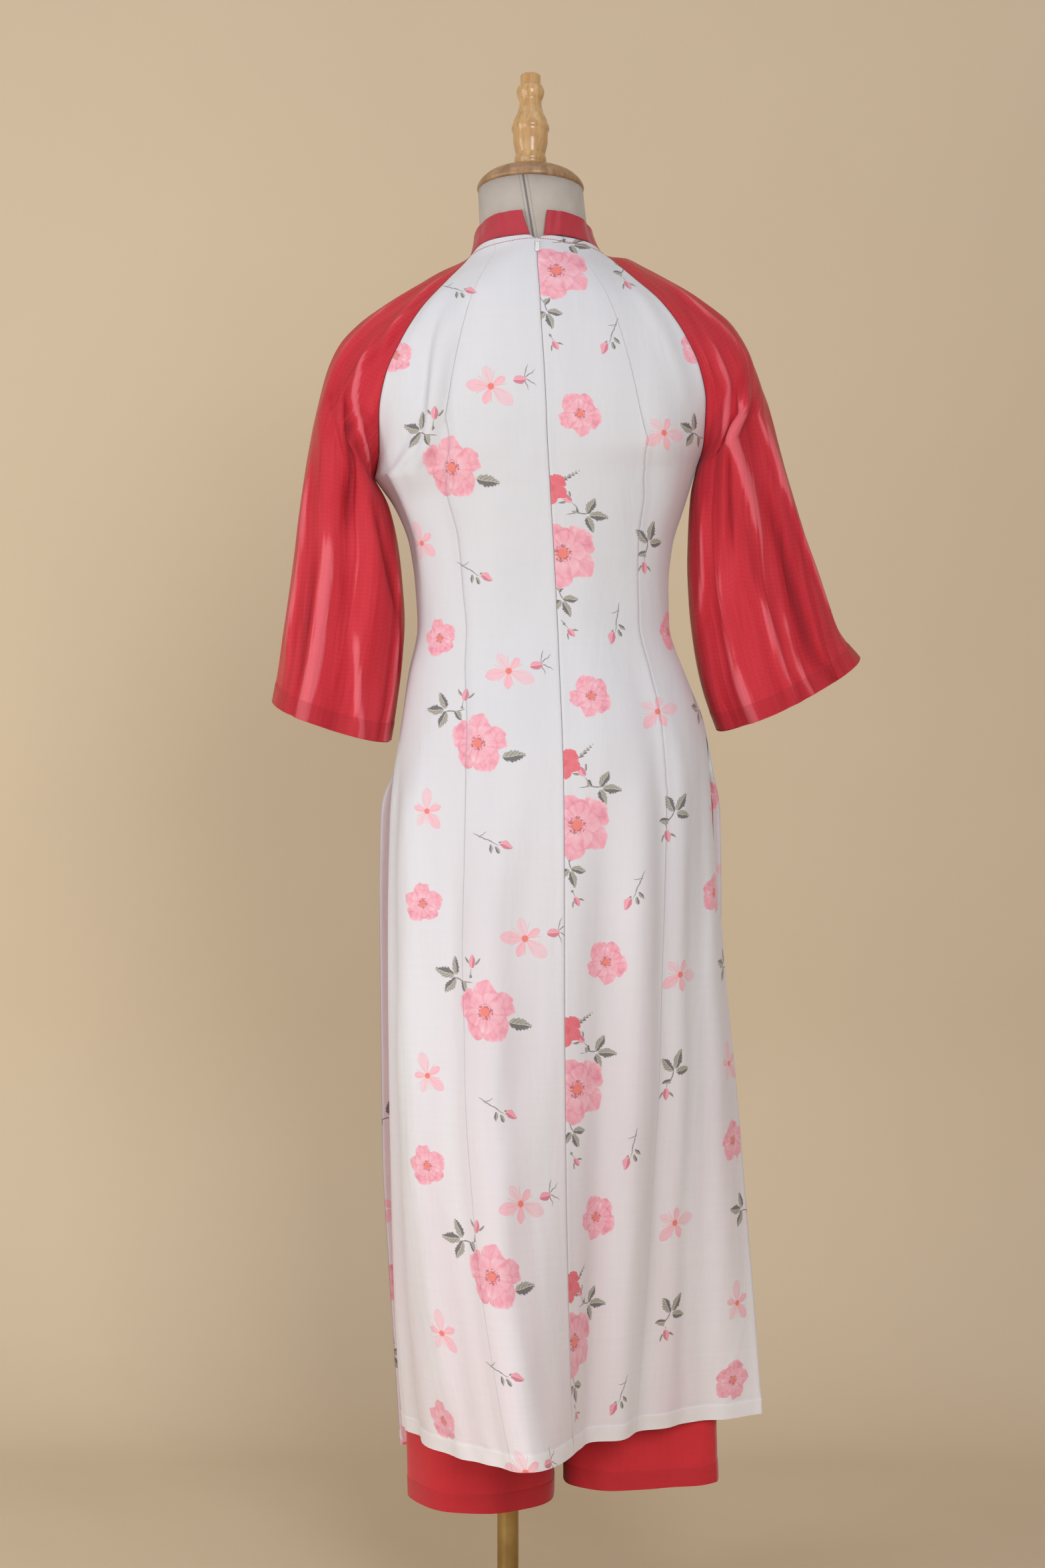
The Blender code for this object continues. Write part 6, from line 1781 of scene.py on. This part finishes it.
def organza_group():
    """Crisp organza with a satin face: streaks of painted satin highlight and shade that run down the cloth, the
    water mark of its two layers, and sharp little creases as a height."""
    made, given, result = group(
        "organza sheen", [("Place", "Vector")],
        [("Streak", "Float"), ("Moire", "Float"), ("Height", "Float")]
    )
    long = scaled(given["Place"], 110.0, 4.2, 1.0)
    bent = scaled(given["Place"], 26.0, 5.0, 1.0, turn=(0, 0, 0.16))
    fine = noisy(long, 1.0, 5.0, rough=0.62, bent=0.5)
    broad = noisy(bent, 1.0, 3.0, bent=0.9)
    wire(times_plus(fine, 0.5, times(broad, 0.5)), result["Streak"])
    water = node(
        made, "ShaderNodeTexWave",
        {
            "Vector": given["Place"], "Scale": 66.0, "Distortion": 9.0, "Detail": 1.0, "Detail Scale": 0.22,
            "Detail Roughness": 0.5
        },
        bands_direction="Y",
    )
    wire(water.outputs[1], result["Moire"])
    ridges = noisy(bent, 1.5, 3.0, bent=1.2, kind="RIDGED_MULTIFRACTAL")
    wire(plus(times(ridges, 0.35), times(fine, 0.7)), result["Height"])
    return made


organza, tree, shader, flat, sewing, weave = sewn_cloth("red organza")
weave.inputs["Yarn"].default_value = 900.0
satin = node(tree, "ShaderNodeGroup", node_tree=organza_group())
wire(flat, satin.inputs["Place"])
# Painted light and shade: the creases' height lightens the ridges and darkens the troughs, over the streaks' painted
# satin highlight and shade. The glint is a painted highlight on the ridges.
raised = times(sewing[2], 60.0)
tone = plus(satin.outputs["Streak"], most(math("MINIMUM", raised, 0.16), -0.22))
tone = times_plus(satin.outputs["Moire"], 0.04, tone)
red = ramp(
    tone, (0.24, (0.27, 0.004, 0.012)), (0.44, (0.50, 0.014, 0.028)), (0.64, (0.61, 0.030, 0.048)),
    (0.86, (0.70, 0.075, 0.10))
)
glint = times_plus(sewing[2], 150.0, times(satin.outputs["Streak"], 2.4))
glint = times(minus(glint, 1.50), 5.0, clamp=True)
red = blend(times(glint, 0.55), red, (0.84, 0.185, 0.235))
# The turned-up hem is a deeper red for its doubled cloth. The seams get painted shade in their grooves.
turned_up = times(minus(SLEEVE_HEM, sewing[1]), 1400.0, clamp=True)
seam = minus(1.0, times(sewing[0], 500.0), clamp=True)
doubled_hem_and_seam_shade = most(times(turned_up, 0.32), times(seam, 0.55))
wire(blend(doubled_hem_and_seam_shade, red, (0.30, 0.008, 0.016)), shader.inputs["Base Color"])
shader.inputs["Roughness"].default_value = 0.27
shader.inputs["Specular IOR Level"].default_value = 0.6
shader.inputs["Specular Tint"].default_value = (1.0, 0.40, 0.44, 1.0)
shader.inputs["Anisotropic"].default_value = 0.6
shader.inputs["Sheen Weight"].default_value = 0.06
shader.inputs["Sheen Tint"].default_value = (1.0, 0.45, 0.48, 1.0)
wire(
    node(tree, "ShaderNodeTangent", direction_type="UV_MAP", uv_map="cloth").outputs[0],
    shader.inputs["Tangent"]
)
height = plus(times(weave.outputs["Height"], 0.03), satin.outputs["Height"])
bumped(shader, 0.9, 0.0042, height)
sleeve_thread = seam_thread("sleeve thread", (0.42, 0.015, 0.03))
for number, (name, side, front_half, folds, creases) in enumerate((
    ("back_left", -1, False, LEFT_SLEEVE_BACK_FOLDS, LEFT_SLEEVE_CREASES),
    ("front_left", -1, True, SLEEVE_FRONT_FOLDS, ()),
    ("back_right", 1, False, RIGHT_SLEEVE_BACK_FOLDS, RIGHT_SLEEVE_CREASES),
    ("front_right", 1, True, SLEEVE_FRONT_FOLDS, ()),
)):
    sleeve = span(sleeve_rows(side, front_half), sleeve_at, 76, (UNDERARM_ROW,), (SLEEVE_COUNTS[0], -1))
    sleeve.first_way[sleeve_at > UNDERARM_ROW, 2] = 0.0
    sleeve.last_way[sleeve_at > UNDERARM_ROW, 2] = 0.0
    if (side < 0) != front_half:
        sleeve = sleeve.turned_round()
    sleeve = add_folds(sleeve, sleeve_at, folds, SLEEVE_LAST_ROW)
    plain, normals = sleeve.grid, sleeve.out()
    sleeve = add_creases(sleeve, sleeve_at, creases, SLEEVE_LAST_ROW)
    # The creases' height goes to the cloth's dart value, from which the organza paints highlight on the ridges and
    # shade in the troughs.
    raised = ((sleeve.grid - plain) * normals).sum(axis=2)
    sleeve = uneven(sleeve, 50 + number, 0.0009, 0.05, 0.3)
    sleeve = hemmed(sleeve, SLEEVE_HEM, 0.0004, 0.00025)
    piece = cloth(
        "organza_" + name, sleeve, SLEEVE_WALL, organza, "red_organza", "sleeve_" + name, top=SEAM_GAP,
        dart=raised
    )
    thread = stitches(
        "sleeve_hem_stitches_" + name, *at_depth(sleeve, SLEEVE_HEM), 0.0030, sleeve_thread, "red_organza"
    )
    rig.sheet(piece, held="hung", rests_on=["form_torso"], with_pieces=[thread], **cut(sleeve))

# Collar: a stand band of the sleeves' red cloth, doubled, open in a notch at the centre back.
COLLAR_HEIGHT, COLLAR_WALL = 0.026, 0.0016
COLLAR_TOP_X, COLLAR_TOP_Y = 0.0278, 0.009
COLLAR_TOP_HALF_WIDTH, COLLAR_TOP_HALF_DEPTH = 0.0635, 0.0645
COLLAR_TOP_NOTCH_AT = 11.7
COLLAR_CREASES = (
    Crease(
        ((0, 0.030), (14, 0.022)), -0.0012, 0.0016, 0.0022
    ), Crease(((0, 0.040), (14, 0.036)), 0.0009, 0.0025, 0.004),
    Crease(
        ((0, 0.945), (14, 0.940)), -0.0012, 0.0020, 0.0018
    ), Crease(((0, 0.925), (14, 0.920)), 0.0010, 0.004, 0.004),
    Crease(
        ((0, 0.15), (14, 0.14)), -0.0008, 0.006, 0.004
    ), Crease(((0, 0.85), (14, 0.86)), -0.0008, 0.004, 0.006),
)
collar_cloth = plain_cloth(
    "collar cloth", (0.50, 0.04, 0.065), (0.36, 0.02, 0.035), 0.42, 500.0, 0.3, 0.0022
)
count, levels = 161, 15
grid = np.zeros((levels, count, 3))
for level in range(levels):
    share = level / (levels - 1)
    notch = COLLAR_TOP_NOTCH_AT + (NOTCH_AT - COLLAR_TOP_NOTCH_AT) * share
    lean = share ** 1.4
    for column, degrees in enumerate(np.linspace(notch, 360 - notch, count)):
        seam, a = neck_point(degrees), radians(degrees)
        top_x = COLLAR_TOP_X + COLLAR_TOP_HALF_WIDTH * sin(a)
        top_y = COLLAR_TOP_Y - COLLAR_TOP_HALF_DEPTH * cos(a)
        grid[level, column] = (
            top_x + (seam[0] - top_x) * lean, top_y + (seam[1] - top_y) * lean,
            seam[2] + COLLAR_HEIGHT * (1 - share) + SEAM_GAP * 1.5,
        )
collar = Sheet(grid, grid[:, 1] - grid[:, 0], grid[:, -1] - grid[:, -2])
collar = add_creases(collar, np.arange(levels), COLLAR_CREASES, levels - 1, edge=0.006)
collar = uneven(collar, 71, 0.0005, 0.03, 0.06)
piece = cloth("collar_band", collar, COLLAR_WALL, collar_cloth, "collar_red", "collar")
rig.sheet(piece, held="stretched", rests_on=["form_torso"], **cut(collar))

# Zip: a lacquered slider and its drop-shaped pull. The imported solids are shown.
zip_lacquer, tree, shader, _ = new_material("zip lacquer")
place = own_place(tree)
welt_shade_and_speckle = noisy(place, 900.0, 4.0)
wire(ramp(welt_shade_and_speckle, (0.35, (0.62, 0.62, 0.63)), (0.7, (0.84, 0.84, 0.84))), shader.inputs["Base Color"])
shader.inputs["Metallic"].default_value = 0.35
shader.inputs["Roughness"].default_value = 0.3
for name in ("zip_slider", "zip_pull"):
    frame["nodes"][name].material_slots[0].material = zip_lacquer

visual_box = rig.bounds()
with open("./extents.json", "w") as size_file:
    json.dump({"cad": [list(c) for c in cad_box], "visual": [list(c) for c in visual_box]}, size_file)
